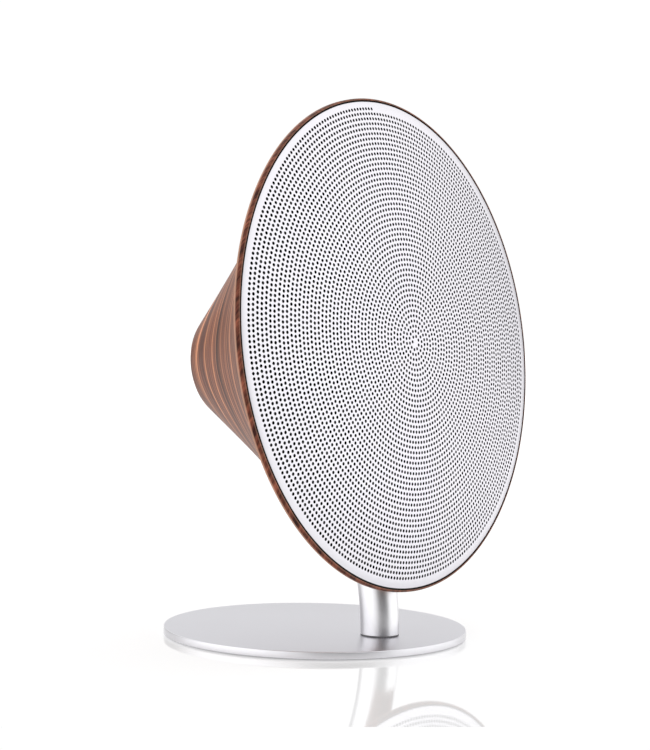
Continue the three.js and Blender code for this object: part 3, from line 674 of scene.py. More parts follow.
def shell_outline(horn, grille, panel_radius, recess):
    """The horn's section, from the grille's seat round the outside to the tip and back inside."""
    tip_angle = math.atan(horn.outer_slope(horn.horn_length))
    tangent_depth = horn.horn_length - horn.tip_round * (1 - math.sin(tip_angle))
    tip_x = horn.outer_radius(tangent_depth) - horn.tip_round * math.cos(tip_angle)
    tip_centre = (tip_x, horn.horn_length - horn.tip_round)
    lip_inner = horn.rim_radius - horn.lip_width
    lip_corner = 0.25 * MM
    seat_depth = grille.sheet + 0.4 * MM
    end, wall_end = horn.horn_length, horn.horn_length - 4 * MM
    opening = panel_radius + PANEL_GAP
    plug_opening = opening - PANEL_FLANGE
    round_in = 0.4 * MM
    corner_centre = (horn.rim_radius - horn.band_corner, horn.band - horn.band_corner)
    flank = depths_between(horn.shoulder, tangent_depth, 46)[:-1]
    inside = depths_between(MOUTH_DEPTH, wall_end, 24)[::-1]
    return [
        (lip_inner, seat_depth),
        *arc((lip_inner + lip_corner, lip_corner), lip_corner, 180, 270, 4),
        *lower_corner(horn.rim_radius, 0, horn.lip_round, 8),
        *arc(corner_centre, horn.band_corner, 0, 66, 6),
        *[(horn.outer_radius(depth), depth) for depth in flank],
        *arc(tip_centre, horn.tip_round, math.degrees(tip_angle), 84, 10),
        *arc((opening + round_in, end - round_in), round_in, 90, 180, 4),
        (opening, end - recess),
        (plug_opening, end - recess),
        (plug_opening, wall_end),
        *[(horn.inner_radius(depth), depth) for depth in inside],
        (horn.inner_radius(MOUTH_DEPTH), seat_depth),
    ]


class PostCurve:
    """The post's bent centre line and where it meets the horn."""

    def __init__(self, horn, stand):
        self.horn = horn
        self.stand = stand
        self.foot = BASE_HIGH.z + stand.gasket + 2 * stand.face_gap
        self.to_horn = horn.placing().inverted()
        self.meeting = self.meeting_angle(0, 0, 0)

    def point(self, angle, radius, turn):
        """A point on the section at that angle along the bend."""
        bend = self.stand.post_bend
        y = self.stand.post_setback + bend * (1 - math.cos(angle))
        centre = Vector((0, y, self.foot + bend * math.sin(angle)))
        across = Vector((1, 0, 0))
        back = Vector((0, math.cos(angle), -math.sin(angle)))
        return centre + radius * (math.cos(turn) * across + math.sin(turn) * back)

    def meeting_angle(self, radius, turn, gap):
        """The angle at which a line along the post reaches the horn, less a gap."""
        outside, inside = 0.0, 0.8
        for _ in range(40):
            middle = (outside + inside) / 2
            place = self.to_horn @ self.point(middle, radius, turn)
            clear = math.hypot(place.x, place.y) - self.horn.outer_radius(place.z) - gap
            outside, inside = (middle, inside) if clear > 0 else (outside, middle)
        return outside

    def joint(self):
        """The joint's frame: +Z runs on inwards from where the centre line meets the horn."""
        place = Matrix.Translation(self.point(self.meeting, 0, 0))
        return place @ Matrix.Rotation(-self.meeting, 4, "X")


def joint_reach(curve):
    """How far the boss reaches beyond the slanting wall, along the joint."""
    horn = curve.horn
    joint = curve.to_horn @ curve.joint()
    inwards = joint.to_3x3() @ Vector((0, 0, 1))
    slope = horn.outer_slope(joint.translation.z)
    angle = math.acos((slope * inwards.y + inwards.z) / math.hypot(1, slope))
    return BOSS_RADIUS / math.tan(angle) + horn.wall / math.sin(angle) + 1 * MM


def panel_radius(horn):
    return horn.tip_radius - 5.1 * MM


def screw_places(names):
    """The middles of some screws, in the horn's frame, and their front and back depths."""
    to_horn = bpy.context.scene.horn_sizes.placing().inverted()
    places = []
    for name in names:
        points = [to_horn @ vertex.co for vertex in frame["nodes"][name].data.vertices]
        xs, ys, zs = zip(*points)
        places.append(((min(xs) + max(xs)) / 2, (min(ys) + max(ys)) / 2, min(zs), max(zs)))
    return places


class LOUDSPEAKER_OT_horn(Build, Operator):
    """Builds the wooden horn with its rolled rim, its bosses and the hole for the post"""

    bl_idname = "loudspeaker.horn"
    bl_label = "Horn"

    def build(self, scene):
        horn, stand, grille = scene.horn_sizes, scene.stand_sizes, scene.grille_sizes
        recess = scene.rear_sizes.plate + 0.3 * MM
        outline = shell_outline(horn, grille, panel_radius(horn), recess)
        shell = turned("wooden_horn", outline, horn.sides, horn.placing())
        curve = PostCurve(horn, stand)
        combine(shell, "UNION", self.bosses(horn, curve))
        combine(shell, "DIFFERENCE", *self.holes(horn, curve))
        material = wood(scene.finishes, horn)
        finish_piece(shell, material, "wood_shell", "horn_shell")

    def screws(self):
        """Every screw's place, its front and back depths and its boss's radius."""
        baffle = screw_places([f"baffle_screw_{number}" for number in range(1, 5)])
        board = screw_places([f"board_screw_{number}" for number in range(1, 4)])
        return [(*spot, 4 * MM) for spot in baffle] + [(*spot, 3.4 * MM) for spot in board]

    def bosses(self, horn, curve):
        """Every boss in one mesh, trimmed to end within the wall."""
        reach = joint_reach(curve)
        bosses = turned("boss", disc(BOSS_RADIUS, BOSS_START, reach), 64, curve.joint())
        others = []
        for x, y, _, back, radius in self.screws():
            place = horn.placing() @ Matrix.Translation((x, y, 0))
            outline = disc(radius, back - 5.6 * MM, back + 34 * MM)
            others.append(turned("boss", outline, 32, place))
        combine(bosses, "UNION", *others)
        depths = depths_between(MOUTH_DEPTH, horn.horn_length, 40)
        half_wall = horn.wall / 2
        filled = [(0, depths[0])]
        filled += [(horn.outer_radius(depth) - half_wall, depth) for depth in depths]
        filled.append((0, depths[-1]))
        return combine(bosses, "INTERSECT", turned("trim", filled, horn.sides, horn.placing()))

    def holes(self, horn, curve):
        """Cutters for the post's tenon and for the screws."""
        start, end = BOSS_START - 9 * MM, joint_reach(curve) + 5 * MM
        holes = [hole(TENON_RADIUS + TENON_GAP, start, end, 64, curve.joint())]
        for x, y, front, back, _ in self.screws():
            place = horn.placing() @ Matrix.Translation((x, y, 0))
            holes.append(hole(SCREW_HOLE, front, back + 1 * MM, 24, place))
        return holes


# ---------------------------------------------------------------- the grille and its cloth


def spiral_holes(grille):
    """The holes' middles on one spiral that runs clockwise seen from the front."""
    turns = grille.first_radius / grille.pitch - grille.phase
    middles = []
    while True:
        radius = grille.pitch * (turns + grille.phase)
        if radius > grille.last_radius:
            return np.array(middles)
        angle = math.tau * turns
        middles.append((-radius * math.cos(angle), -radius * math.sin(angle)))
        turns += grille.step / math.hypot(math.tau * radius, grille.pitch)


def hole_corners(middles, radius, sides):
    """Corners round every hole, hole after hole."""
    angles = math.tau * np.arange(sides) / sides
    ring = radius * np.stack([np.cos(angles), np.sin(angles)], axis=1)
    return (middles[:, None, :] + ring[None, :, :]).reshape(-1, 2)


def between_holes(corners, sides, edge):
    """Triangles that fill a round sheet between its holes, counter-clockwise."""
    flat = np.concatenate([corners, edge]) / MM
    triangles = delaunay_2d_cdt(flat.tolist(), [], [], 0, 1e-6, False)[2]
    triangles = np.array(triangles)
    owner = np.arange(len(flat)) // sides
    owner[len(corners) :] = -1 - np.arange(len(edge))
    owners = owner[triangles]
    inside = (owners[:, 0] == owners[:, 1]) & (owners[:, 1] == owners[:, 2])
    return triangles[~inside]


class LOUDSPEAKER_OT_grille(Build, Operator):
    """Builds the pierced and domed metal sheet with its spiral of holes"""

    bl_idname = "loudspeaker.grille"
    bl_label = "Grille"

    front_sides = 8
    back_sides = 4
    edge_sides = 240

    def build(self, scene):
        horn, grille = scene.horn_sizes, scene.grille_sizes
        edge = grille_edge(scene)
        points, faces = self.sheet(grille, edge)
        sheet = new_piece("pierced_grille", points.tolist(), faces.tolist(), horn.placing())
        # The cover paints the holes' walls and the sheet's back near-black, as shade.
        material = satin_metal(
            "grille_silver",
            scene.finishes.grille,
            0.42,
            cover=lambda made: hole_walls(made, horn, grille, edge),
        )
        finish_piece(sheet, material, "satin_aluminium", "grille")

    def sheet(self, grille, edge):
        middles = spiral_holes(grille)
        front = hole_corners(middles, grille.hole_radius, self.front_sides)
        back = hole_corners(middles, grille.hole_radius, self.back_sides)
        angles = math.tau * np.arange(self.edge_sides) / self.edge_sides
        circle = np.stack([np.cos(angles), np.sin(angles)], axis=1)
        skirt = self.skirt(grille, edge)
        front_edge, back_edge = circle * skirt[0][0], circle * skirt[-1][0]
        front_faces = between_holes(front, self.front_sides, front_edge)
        back_faces = between_holes(back, self.back_sides, back_edge)
        front_points = self.domed(grille, np.concatenate([front, front_edge]), edge, 0)
        back_flat = np.concatenate([back, back_edge])
        back_points = self.domed(grille, back_flat, edge, grille.sheet)
        start = len(front_points)
        points = [front_points, back_points]
        faces = [front_faces[:, ::-1], back_faces + start]
        faces.append(self.hole_walls(len(middles), start))
        total = start + len(back_points)
        ring = np.arange(self.edge_sides)
        rings = [len(front) + ring]
        for radius, depth in skirt[1:-1]:
            points.append(np.column_stack([circle * radius, np.full(self.edge_sides, depth)]))
            rings.append(total + ring)
            total += self.edge_sides
        rings.append(start + len(back) + ring)
        faces += self.rim_faces(rings)
        return np.concatenate(points), np.concatenate(faces)

    def rim_faces(self, rings):
        """Triangles between the edge's rings, from front to back."""
        faces = []
        for upper, lower in zip(rings, rings[1:]):
            ahead = np.roll(upper, -1), np.roll(lower, -1)
            faces.append(np.column_stack([upper, ahead[0], lower]))
            faces.append(np.column_stack([ahead[0], ahead[1], lower]))
        return faces

    def skirt(self, grille, edge):
        """The outer edge's (radius, depth) points, from the front face round to the back."""
        top = lower_corner(edge, 0, grille.edge_round, 3)
        first = (top[0][0], -grille.dome_rise(top[0][0], edge))
        return [first, *top[1:], (edge, grille.sheet - 0.1 * MM), (edge - 0.1 * MM, grille.sheet)]

    def domed(self, grille, flat, edge, depth):
        radii = np.minimum(np.hypot(flat[:, 0], flat[:, 1]), edge)
        return np.column_stack([flat, depth - grille.dome_rise(radii, edge)])

    def hole_walls(self, count, start):
        """The walls from each hole's corners in front to its fewer corners at the back."""
        many, few = self.front_sides, self.back_sides
        hole = np.arange(count)
        faces = []
        for corner in range(few):
            here = start + hole * few + corner
            following = start + hole * few + (corner + 1) % few
            before = hole * many + (2 * corner - 1) % many
            middle = hole * many + 2 * corner
            after = hole * many + (2 * corner + 1) % many
            faces.append(np.column_stack([before, here, middle]))
            faces.append(np.column_stack([middle, here, after]))
            faces.append(np.column_stack([after, here, following]))
        return np.concatenate(faces)


class LOUDSPEAKER_OT_cloth(Build, Operator):
    """Stretches the acoustic cloth behind the grille"""

    bl_idname = "loudspeaker.cloth"
    bl_label = "Acoustic cloth"

    def build(self, scene):
        grille = scene.grille_sizes
        horn = scene.horn_sizes
        edge = grille_edge(scene)
        radius = horn.inner_radius(MOUTH_DEPTH) - 1.2 * MM
        depth = grille.sheet + grille.cloth_gap
        radii = [radius * step / 40 for step in range(41)]
        front = [(r, depth - grille.dome_rise(r, edge)) for r in radii]
        back = [(r, z + grille.cloth) for r, z in reversed(front)]
        cloth = turned("stretched_cloth", front + back, 160, horn.placing())
        material = woven("acoustic_weave", scene.finishes.cloth, 1800)
        finish_piece(cloth, material, "grille_cloth", "acoustic_cloth")


# ---------------------------------------------------------------- the stand


def on_post(stand, offset=0):
    """The post's foot, or a place behind it."""
    return Matrix.Translation((0, stand.post_setback + offset, 0))


class LOUDSPEAKER_OT_post(Build, Operator):
    """Bends the round post up to the horn and trims its top to the horn's surface"""

    bl_idname = "loudspeaker.post"
    bl_label = "Post"

    sides = 128
    steps = 40

    def build(self, scene):
        stand = scene.stand_sizes
        curve = PostCurve(scene.horn_sizes, stand)
        joint = curve.joint()
        reach = joint_reach(curve) - 0.4 * MM
        points = self.points(curve, stand)
        tenon = [polar(TENON_RADIUS, 360 * side / self.sides) for side in range(self.sides)]
        points += [joint @ Vector((*spot, reach)) for spot in tenon]
        post = new_piece("bent_post", points, self.faces(len(points) // self.sides))
        combine(post, "DIFFERENCE", *self.holes(curve, stand, joint, reach))
        # The post's lighter colour is a painted highlight.
        material = satin_metal("stand_aluminium", scene.finishes.post, 0.30)
        finish_piece(post, material, "satin_aluminium", "post")

    def points(self, curve, stand):
        """Rings from the bevelled foot up to the horn's surface and in to the tenon."""
        gap = 0.3 * MM
        bevel = stand.foot_bevel
        turns = [math.tau * side / self.sides for side in range(self.sides)]
        ends = [curve.meeting_angle(stand.post_radius, turn, gap) for turn in turns]
        start = bevel / stand.post_bend
        points = [curve.point(0, stand.post_radius - bevel, turn) for turn in turns]
        for step in range(self.steps + 1):
            share = step / self.steps
            for turn, end in zip(turns, ends):
                points.append(curve.point(start + (end - start) * share, stand.post_radius, turn))
        for radius in (0.9 * stand.post_radius, 0.8 * stand.post_radius, TENON_RADIUS):
            for turn in turns:
                points.append(curve.point(curve.meeting_angle(radius, turn, gap), radius, turn))
        return points

    def faces(self, rows):
        faces = []
        for low in range(0, (rows - 1) * self.sides, self.sides):
            high = low + self.sides
            for side in range(self.sides):
                following = (side + 1) % self.sides
                faces.append((low + side, low + following, high + following, high + side))
        faces.append(tuple(reversed(range(self.sides))))
        faces.append(tuple(range((rows - 1) * self.sides, rows * self.sides)))
        return faces

    def holes(self, curve, stand, joint, reach):
        return [
            hole(2.8 * MM, reach - 14.6 * MM, reach + 2 * MM, 32, joint),
            hole(BOLT_HOLE, 0, curve.foot + 13 * MM, 32, on_post(stand)),
            hole(DOWEL_HOLE, 0, curve.foot + 7 * MM, 16, on_post(stand, DOWEL_REACH)),
        ]


class LOUDSPEAKER_OT_base(Build, Operator):
    """Turns the base plate, the rubber foot under it and the ring under the post"""

    bl_idname = "loudspeaker.base"
    bl_label = "Base"

    def build(self, scene):
        stand = scene.stand_sizes
        self.plate(scene, stand)
        self.foot_pad(scene, stand)
        self.gasket(stand)

    def plate(self, scene, stand):
        bevel = stand.base_bevel
        low, high = BASE_LOW.z, BASE_HIGH.z
        pocket = PAD_HIGH.z + 0.3 * MM
        wide = stand.base_radius
        pocket_radius = stand.pad_radius + 0.5 * MM
        outline = [
            (0, pocket),
            (pocket_radius, pocket),
            (pocket_radius, low),
            *lower_corner(wide, low, bevel, 4),
            *upper_corner(wide, high, bevel, 6),
            (0, high),
        ]
        plate = turned("base_disc", outline, 256)
        below, above = pocket - 1 * MM, high + 1 * MM
        countersink = [
            (0, below),
            (4.9 * MM, below),
            (4.9 * MM, pocket + 0.3 * MM),
            (BOLT_HOLE, high - 0.3 * MM),
            (BOLT_HOLE, above),
            (0, above),
        ]
        bolt = turned("hole", countersink, 48, on_post(stand))
        dowel = hole(DOWEL_HOLE, below, above, 16, on_post(stand, DOWEL_REACH))
        combine(plate, "DIFFERENCE", bolt, dowel)
        finishes = scene.finishes
        material = satin_metal(
            "base_aluminium",
            finishes.base,
            0.33,
            cover=lambda made: cut_edge_and_highlight(made, wide, finishes.cut_edge_and_highlight),
        )
        finish_piece(plate, material, "satin_aluminium", "base_plate")

    def foot_pad(self, scene, stand):
        groove = stand.pad_groove
        wide = stand.pad_radius
        thick = PAD_HIGH.z
        width = 1.2 * MM
        outline = [(0, 0)]
        for radius in (20 * MM, 40 * MM, 60 * MM):
            outline += [(radius, 0), (radius + groove, groove)]
            outline += [(radius + width, groove), (radius + width + groove, 0)]
        edge = 0.3 * MM
        outline += lower_corner(wide, 0, edge, 3)
        outline += upper_corner(wide, thick, edge, 3)
        outline.append((0, thick))
        pad = turned("rubber_foot", outline, 192)
        material = moulded("foot_rubber", scene.finishes.rubber, 0.8, 1500, 0.3)
        finish_piece(pad, material, "black_rubber", "foot_pad")

    def gasket(self, stand):
        low = BASE_HIGH.z + stand.face_gap
        high = low + stand.gasket
        outer = stand.post_radius - 0.1 * MM
        edge = 0.12 * MM
        outline = [
            (BOLT_HOLE, low),
            *lower_corner(outer, low, edge, 3),
            *upper_corner(outer, high, edge, 3),
            (BOLT_HOLE, high),
        ]
        ring = turned("post_ring", outline, 96, on_post(stand))
        below, above, place = low - 1 * MM, high + 1 * MM, on_post(stand, DOWEL_REACH)
        combine(ring, "DIFFERENCE", hole(DOWEL_HOLE, below, above, 16, place))
        # Grey rather than black rubber: painted light that lifts the shade in the seam under the
        # post.
        material = moulded("ring_rubber", (0.22, 0.22, 0.23), 0.7, 2600, 0.2)
        finish_piece(ring, material, "black_rubber", "post_gasket")


# ---------------------------------------------------------------- the rear panel


BUTTON_FLANGE = 0.6 * MM
STEM_RADIUS = 1.2 * MM
POST_RADIUS = 1.7 * MM
PILOT_RADIUS = 1.1 * MM
PILOT_DEPTH = 4.5 * MM
JACK_HOLE = 3.3 * MM
LENS_HOLE = 1.3 * MM


class RearLayout:
    """Depths and places on the rear panel, in the horn's frame."""

    def __init__(self, scene):
        horn, rear = scene.horn_sizes, scene.rear_sizes
        self.radius = panel_radius(horn)
        self.plug = self.radius - PANEL_FLANGE
        self.plug_inner = self.plug - 1.3 * MM
        self.back = horn.horn_length - rear.sunk
        self.front = self.back - rear.plate
        self.flange_back = self.front - rear.slide_gap
        self.stem_front = self.flange_back - 3.3 * MM
        self.board_back = self.stem_front - rear.travel - 2.6 * MM
        small = rear.button_radius
        spread = self.plug_inner - small - BUTTON_FLANGE - 0.7 * MM
        power = 0.54 * (spread - small - 2 * BUTTON_FLANGE)
        self.buttons = {
            "power": (power, (0, 0)),
            "volume_up": (small, polar(spread, 30)),
            "pairing": (small, polar(spread, 90)),
            "volume_down": (small, polar(spread, 150)),
        }
        self.audio = polar(spread, 225)
        self.lamp = polar(spread, 270)
        self.charging = polar(spread, 315)
        self.posts = [polar(spread, -7), polar(spread, 187)]
        self.placing = horn.placing()

    def at(self, spot):
        return self.placing @ Matrix.Translation((*spot, 0))


class LOUDSPEAKER_OT_rear_panel(Build, Operator):
    """Moulds the rear panel with its skirt, its screw posts and its openings"""

    bl_idname = "loudspeaker.rear_panel"
    bl_label = "Rear panel"

    def build(self, scene):
        rear = scene.rear_sizes
        layout = RearLayout(scene)
        inner, plug, wide = layout.plug_inner, layout.plug, layout.radius
        front, back = layout.front, layout.back
        skirt_end = back - 5.9 * MM
        groove = 0.25 * MM
        rim = wide - 1.6 * MM
        outline = [
            (0, front),
            (inner, front),
            (inner, skirt_end),
            (plug, skirt_end),
            (plug, front),
            (wide, front),
            *upper_corner(wide, back, 0.5 * MM, 5),
            (rim, back),
            (rim - groove, back - groove),
            (rim - 2 * groove, back),
            (0, back),
        ]
        panel = turned("control_panel", outline, 160, layout.placing)
        rod = disc(POST_RADIUS, layout.board_back + 0.3 * MM, front + 0.5 * MM)
        posts = [turned("post", rod, 24, layout.at(spot)) for spot in layout.posts]
        combine(panel, "UNION", *posts)
        combine(panel, "DIFFERENCE", *self.openings(layout, rear))
        material = moulded("panel_plastic", scene.finishes.plastic, 0.5, 3200, 0.22)
        finish_piece(panel, material, "black_plastic", "rear_panel")

    def openings(self, layout, rear):
        """Cutters with a small lead-in at the panel's face."""
        below, above = layout.front - 1 * MM, layout.back + 1 * MM
        tools = []
        rounds = [(radius + rear.slide_gap, spot) for radius, spot in layout.buttons.values()]
        rounds += [(JACK_HOLE, layout.audio), (LENS_HOLE, layout.lamp)]
        for radius, spot in rounds:
            outline = self.lead_in(radius, below, layout.back, above)
            tools.append(turned("hole", outline, 64, layout.at(spot)))
        slot = stadium(9.6 * MM, 3.8 * MM)
        tools.append(extruded("hole", slot, below, above, layout.at(layout.charging)))
        for spot in layout.posts:
            low = layout.board_back
            tools.append(hole(PILOT_RADIUS, low, low + PILOT_DEPTH, 16, layout.at(spot)))
        return tools

    def lead_in(self, radius, below, face, above):
        chamfer = 0.25 * MM
        wide = radius + chamfer
        start = [(0, below), (radius, below), (radius, face - chamfer)]
        return [*start, (wide, face), (wide, above), (0, above)]


def bar(width, height, centre=(0, 0)):
    x, y = centre
    w, h = width / 2, height / 2
    return [(x - w, y - h), (x + w, y - h), (x + w, y + h), (x - w, y + h)]


def band(radius, width, start, end, centre=(0, 0), count=24):
    """A flat curved band, as an outline."""
    outer = arc(centre, radius + width / 2, start, end, count)
    inner = arc(centre, radius - width / 2, end, start, count)
    return outer + inner


def cross(size, width):
    w, s = width / 2, size / 2
    quarter = [(w, w), (s, w), (s, -w), (w, -w)]
    corners = []
    for turn in range(4):
        for x, y in quarter:
            for _ in range(turn):
                x, y = y, -x
            corners.append((x, y))
    tidy = [corners[k] for k in range(16) if corners[k] != corners[k - 1]]
    return tidy[::-1]


def marks_for(name):
    """Flat outlines of the plain mark that each button carries."""
    line = 0.32 * MM
    if name == "power":
        return [band(1.5 * MM, line, 125, 415), bar(line, 1.7 * MM, (0, 1.1 * MM))]
    if name == "volume_up":
        return [cross(2.2 * MM, line)]
    if name == "volume_down":
        return [bar(2.2 * MM, line)]
    waves = [band(radius * MM, line, 50, 130, (0, -0.9 * MM)) for radius in (0.9, 1.6, 2.3)]
    return [*waves, arc((0, -0.75 * MM), 0.3 * MM, 0, 345, 23)]


class LOUDSPEAKER_OT_buttons(Build, Operator):
    """Moulds the four buttons with their flanges, stems and printed marks"""

    bl_idname = "loudspeaker.buttons"
    bl_label = "Buttons"

    def build(self, scene):
        finishes = scene.finishes
        rubber = moulded("button_rubber", finishes.rubber, 0.62, 4200, 0.15)
        ink = moulded("mark_ink", finishes.mark, 0.5, 6000, 0.05)
        layout = RearLayout(scene)
        for name, (radius, spot) in layout.buttons.items():
            self.button(scene, layout, name, radius, spot, rubber, ink)

    def button(self, scene, layout, name, radius, spot, rubber, ink):
        rear = scene.rear_sizes
        top = layout.back + rear.rise
        crown = 0.12 * MM
        flange_front = layout.flange_back - 1.2 * MM
        edge = 0.35 * MM
        shares = [1 - step / 6 for step in range(7)]
        face = [((radius - edge) * share, top - crown * share**2) for share in shares]
        outline = [
            (0, layout.stem_front),
            (STEM_RADIUS, layout.stem_front),
            (STEM_RADIUS, flange_front),
            (radius + BUTTON_FLANGE, flange_front),
            (radius + BUTTON_FLANGE, layout.flange_back),
            (radius, layout.flange_back),
            *upper_corner(radius, top - crown, edge, 5)[:-1],
            *face,
        ]
        button = turned(f"{name}_key", outline, 96, layout.at(spot))
        finish_piece(button, rubber, "button_rubber", f"{name}_button", body=f"{name}_key")
        low = top - crown
        high = top + rear.mark_height
        shapes = [extruded("mark", flat, low, high, layout.at(spot)) for flat in marks_for(name)]
        mark = merged(f"{name}_mark", shapes)
        finish_piece(mark, ink, "button_rubber", body=f"{name}_key")


class LOUDSPEAKER_OT_sockets(Build, Operator):
    """Builds the audio socket, the charging socket and the status lamp's lens"""

    bl_idname = "loudspeaker.sockets"
    bl_label = "Sockets and lamp"

    def build(self, scene):
        layout = RearLayout(scene)
        self.audio(scene, layout)
        self.charging(layout)
        self.lens(layout)

    def audio(self, scene, layout):
        low, face = layout.board_back + 0.3 * MM, layout.back - 0.2 * MM
        step = layout.front - 2 * MM
        bottom = layout.board_back + 1.5 * MM
        bore, barrel, body, lead_in = 1.8 * MM, 3 * MM, 3.6 * MM, 0.45 * MM
        outline = [
            (0, low),
            (body, low),
            (body, step),
            (barrel, step),
            *upper_corner(barrel, face, 0.3 * MM, 4),
            (bore + lead_in, face),
            (bore, face - lead_in),
            (bore, bottom),
            (0, bottom),
        ]
        socket = turned("audio_jack", outline, 72, layout.at(layout.audio))
        material = moulded("socket_plastic", scene.finishes.plastic, 0.35, 3600, 0.1)
        finish_piece(socket, material, "black_plastic", "audio_socket")

    def charging(self, layout):
        low, face = layout.board_back + 0.3 * MM, layout.back - 0.2 * MM
        place = layout.at(layout.charging)
        can = extruded("charging_port", stadium(9 * MM, 3.2 * MM), low, face, place)
        bottom, inside = layout.board_back + 2 * MM, stadium(8.4 * MM, 2.6 * MM)
        combine(can, "DIFFERENCE", extruded("hollow", inside, bottom, face + 1 * MM, place))
        start, flat = bottom - 0.5 * MM, bar(6.4 * MM, 0.7 * MM)
        combine(can, "UNION", extruded("tongue", flat, start, face - 1.2 * MM, place))
        material = satin_metal("socket_steel", (0.52, 0.52, 0.54), 0.3)
        finish_piece(can, material, "plated_steel", "charging_socket")

    def lens(self, layout):
        low, top = layout.front - 3 * MM, layout.back + 0.2 * MM
        radius = 1 * MM
        rise = 0.4 * MM
        turns = np.linspace(0, math.pi / 2, 8)
        dome = [(radius * math.cos(a), top - rise + rise * math.sin(a)) for a in turns]
        outline = [(0, low), (radius, low), *dome[:-1], (0, top)]
        lens = turned("lamp_lens", outline, 48, layout.at(layout.lamp))
        made = Shader(
            "frosted_lens",
            Roughness=0.25,
            IOR=1.49,
            Transmission_Weight=0.35,
            Base_Color=(0.82, 0.88, 0.95, 1),
        )
        specks = made.noise((3000,) * 3)
        made.set("Roughness", made.spread(specks, 0.18, 0.34))
        made.bump(specks, 0.1, 0.00004)
        finish_piece(lens, made.material, "clear_lens", "status_lens")


# ---------------------------------------------------------------- what is inside


class LOUDSPEAKER_OT_inner_parts(Build, Operator):
    """Gives every part inside the horn its own finish"""

    bl_idname = "loudspeaker.inner_parts"
    bl_label = "Inner parts"

    def build(self, scene):
        finishes = scene.finishes
        slots = {
            "black_plastic": moulded("inner_plastic", finishes.plastic, 0.6),
            "black_rubber": moulded("roll_rubber", finishes.rubber, 0.7, 1800, 0.2),
            "plated_steel": satin_metal("zinc_plate", (0.50, 0.50, 0.52), 0.38, 900, 0.15),
            "ferrite": moulded("sintered_ferrite", (0.03, 0.03, 0.033), 0.7, 1400, 0.5),
            "cone_paper": moulded("pressed_pulp", (0.014, 0.014, 0.016), 0.9, 500, 0.8),
            "spider_cloth": woven("spider_weave", (0.42, 0.24, 0.08), 1400),
            "coil_former": moulded("former_paper", (0.40, 0.25, 0.10), 0.6, 700, 0.3),
            "copper_wire": wound("voice_coil_wire", (0.70, 0.30, 0.14), 4000),
            "dome_fabric": woven("dome_weave", (0.03, 0.03, 0.04), 3000),
            "circuit_board": circuit_board(),
            "cell_wrap": moulded("shrink_wrap", (0.02, 0.10, 0.32), 0.3, 120, 0.2),
            "lead_sleeve": moulded("sleeve", (0.25, 0.012, 0.012), 0.5, 1600, 0.2),
        }
        for part in frame["record"]["subparts"]:
            if part["material_slot"] in slots:
                node = frame["nodes"][part["node"]]
                node.data.materials.clear()
                node.data.materials.append(slots[part["material_slot"]])


# ---------------------------------------------------------------- the stage


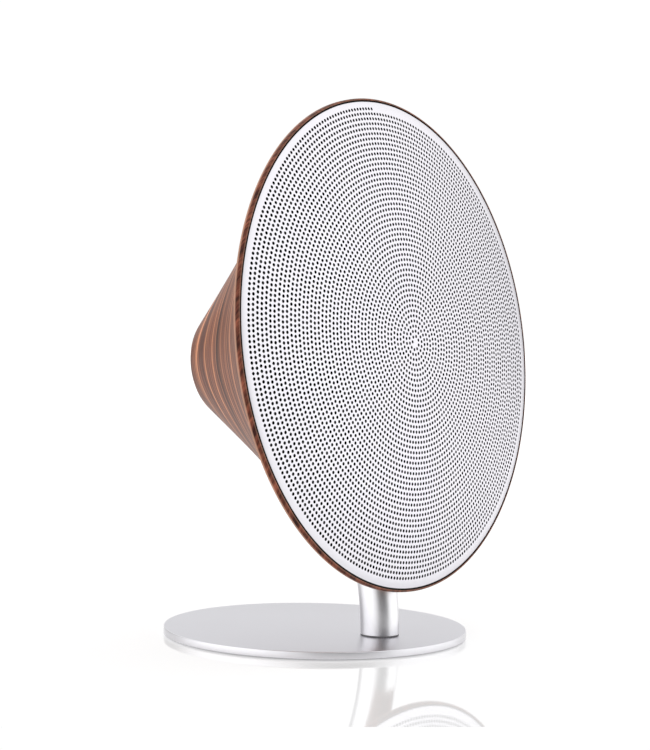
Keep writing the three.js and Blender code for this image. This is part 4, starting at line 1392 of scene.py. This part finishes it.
class LOUDSPEAKER_OT_stage(Build, Operator):
    """Lays the white table, lights it and sets up the camera"""

    bl_idname = "loudspeaker.stage"
    bl_label = "Stage"

    # Each screen's direction and height above the table, its half width, the width of its
    # soft edge, all in degrees, and its strength.
    screens = (
        (150, 10, 20, 25, 1.45),
        (80, 0, 12, 18, 0.40),
        (305, 10, 20, 30, 1.20),
        (240, 5, 8, 38, 0.10),
        (4, 5, 4, 12, 0.60),
    )

    def build(self, scene):
        settings = scene.stage_settings
        scene.view_settings.view_transform = "Standard"
        self.camera(scene, settings)
        self.floor(settings)
        self.surroundings(scene, settings)

    def camera(self, scene, settings):
        lens = bpy.data.cameras.new("camera")
        lens.lens = settings.focal
        lens.sensor_width = 36
        camera = bpy.data.objects.new("camera", lens)
        right = Vector(settings.right).normalized()
        back = right.cross(Vector(settings.up)).normalized()
        up = back.cross(right)
        turn = Matrix((right, up, back)).transposed()
        camera.matrix_world = Matrix.Translation(settings.eye) @ turn.to_4x4()
        scene.collection.objects.link(camera)
        scene.camera = camera

    def floor(self, settings):
        """A white polished table whose near edge runs level across the camera's view."""
        right, up, eye = Vector(settings.right), Vector(settings.up), Vector(settings.eye)
        ray = up.cross(right) - up * math.tan(settings.table_dip)
        near = (eye - ray * (eye.z / ray.z)).to_2d()
        along = (right - ray * (right.z / ray.z)).to_2d().normalized()
        far = near + 6 * Vector((-along.y, along.x))
        corners = (near + 6 * along, near - 6 * along, far - 6 * along, far + 6 * along)
        floor = new_piece("floor", [(*corner, 0) for corner in corners], [(3, 2, 1, 0)])
        made = Shader(
            "white_table",
            Base_Color=(0.58, 0.58, 0.58, 1),
            Roughness=0.03,
            IOR=1.8,
            Emission_Color=(1, 1, 1, 1),
            Emission_Strength=settings.table_glow,
        )
        floor.data.materials.append(made.material)

    def surroundings(self, scene, settings):
        """White paper all round with a few grey and bright screens, and white to the camera."""
        world = bpy.data.worlds.new("studio")
        scene.world = world
        made = Nodes(world)
        way = made.node("ShaderNodeTexCoord").outputs["Generated"]
        light = settings.room
        for azimuth, height, wide, soft, strength in self.screens:
            lift = math.radians(height)
            middle = (*polar(math.cos(lift), azimuth), math.sin(lift))
            inputs = {0: way, 1: middle}
            toward = made.node("ShaderNodeVectorMath", inputs, operation="DOT_PRODUCT")
            start, end = math.cos(math.radians(wide + soft)), math.cos(math.radians(wide))
            share = made.step(toward.outputs["Value"], start, end)
            light = made.node("ShaderNodeMix", {0: share, 2: light, 3: strength}).outputs[0]
        white = (1, 1, 1, 1)
        seen = made.node("ShaderNodeBackground", {"Color": white, "Strength": 1.02})
        cast = made.node("ShaderNodeBackground", {"Color": white, "Strength": light})
        direct = made.node("ShaderNodeLightPath").outputs["Is Camera Ray"]
        inputs = {0: direct, 1: cast.outputs[0], 2: seen.outputs[0]}
        both = made.node("ShaderNodeMixShader", inputs).outputs[0]
        made.node("ShaderNodeOutputWorld", {"Surface": both})


# ---------------------------------------------------------------- the add-on


BUILD_ORDER = (
    LOUDSPEAKER_OT_stage,
    LOUDSPEAKER_OT_horn,
    LOUDSPEAKER_OT_grille,
    LOUDSPEAKER_OT_cloth,
    LOUDSPEAKER_OT_post,
    LOUDSPEAKER_OT_base,
    LOUDSPEAKER_OT_rear_panel,
    LOUDSPEAKER_OT_buttons,
    LOUDSPEAKER_OT_sockets,
    LOUDSPEAKER_OT_inner_parts,
)

SETTINGS = {
    "horn_sizes": HornSizes,
    "grille_sizes": GrilleSizes,
    "stand_sizes": StandSizes,
    "rear_sizes": RearSizes,
    "finishes": Finishes,
    "stage_settings": StageSettings,
}


class LOUDSPEAKER_PT_panel(Panel):
    """Lists the pieces to build and the sizes to change"""

    bl_idname = "LOUDSPEAKER_PT_panel"
    bl_label = "Horn loudspeaker"
    bl_space_type = "VIEW_3D"
    bl_region_type = "UI"
    bl_category = "Loudspeaker"

    def draw(self, context):
        column = self.layout.column()
        for operator in BUILD_ORDER:
            column.operator(operator.bl_idname)
        for name, group in SETTINGS.items():
            box = column.box()
            for label in group.__annotations__:
                box.prop(getattr(context.scene, name), label)


CLASSES = (*SETTINGS.values(), *BUILD_ORDER, LOUDSPEAKER_PT_panel)


def register():
    for item in CLASSES:
        bpy.utils.register_class(item)
    for name, group in SETTINGS.items():
        setattr(bpy.types.Scene, name, PointerProperty(type=group))


def unregister():
    for name in SETTINGS:
        delattr(bpy.types.Scene, name)
    for item in reversed(CLASSES):
        bpy.utils.unregister_class(item)


def main():
    register()
    for operator in BUILD_ORDER:
        family, name = operator.bl_idname.split(".")
        getattr(getattr(bpy.ops, family), name)()


if __name__ == "__main__":
    main()
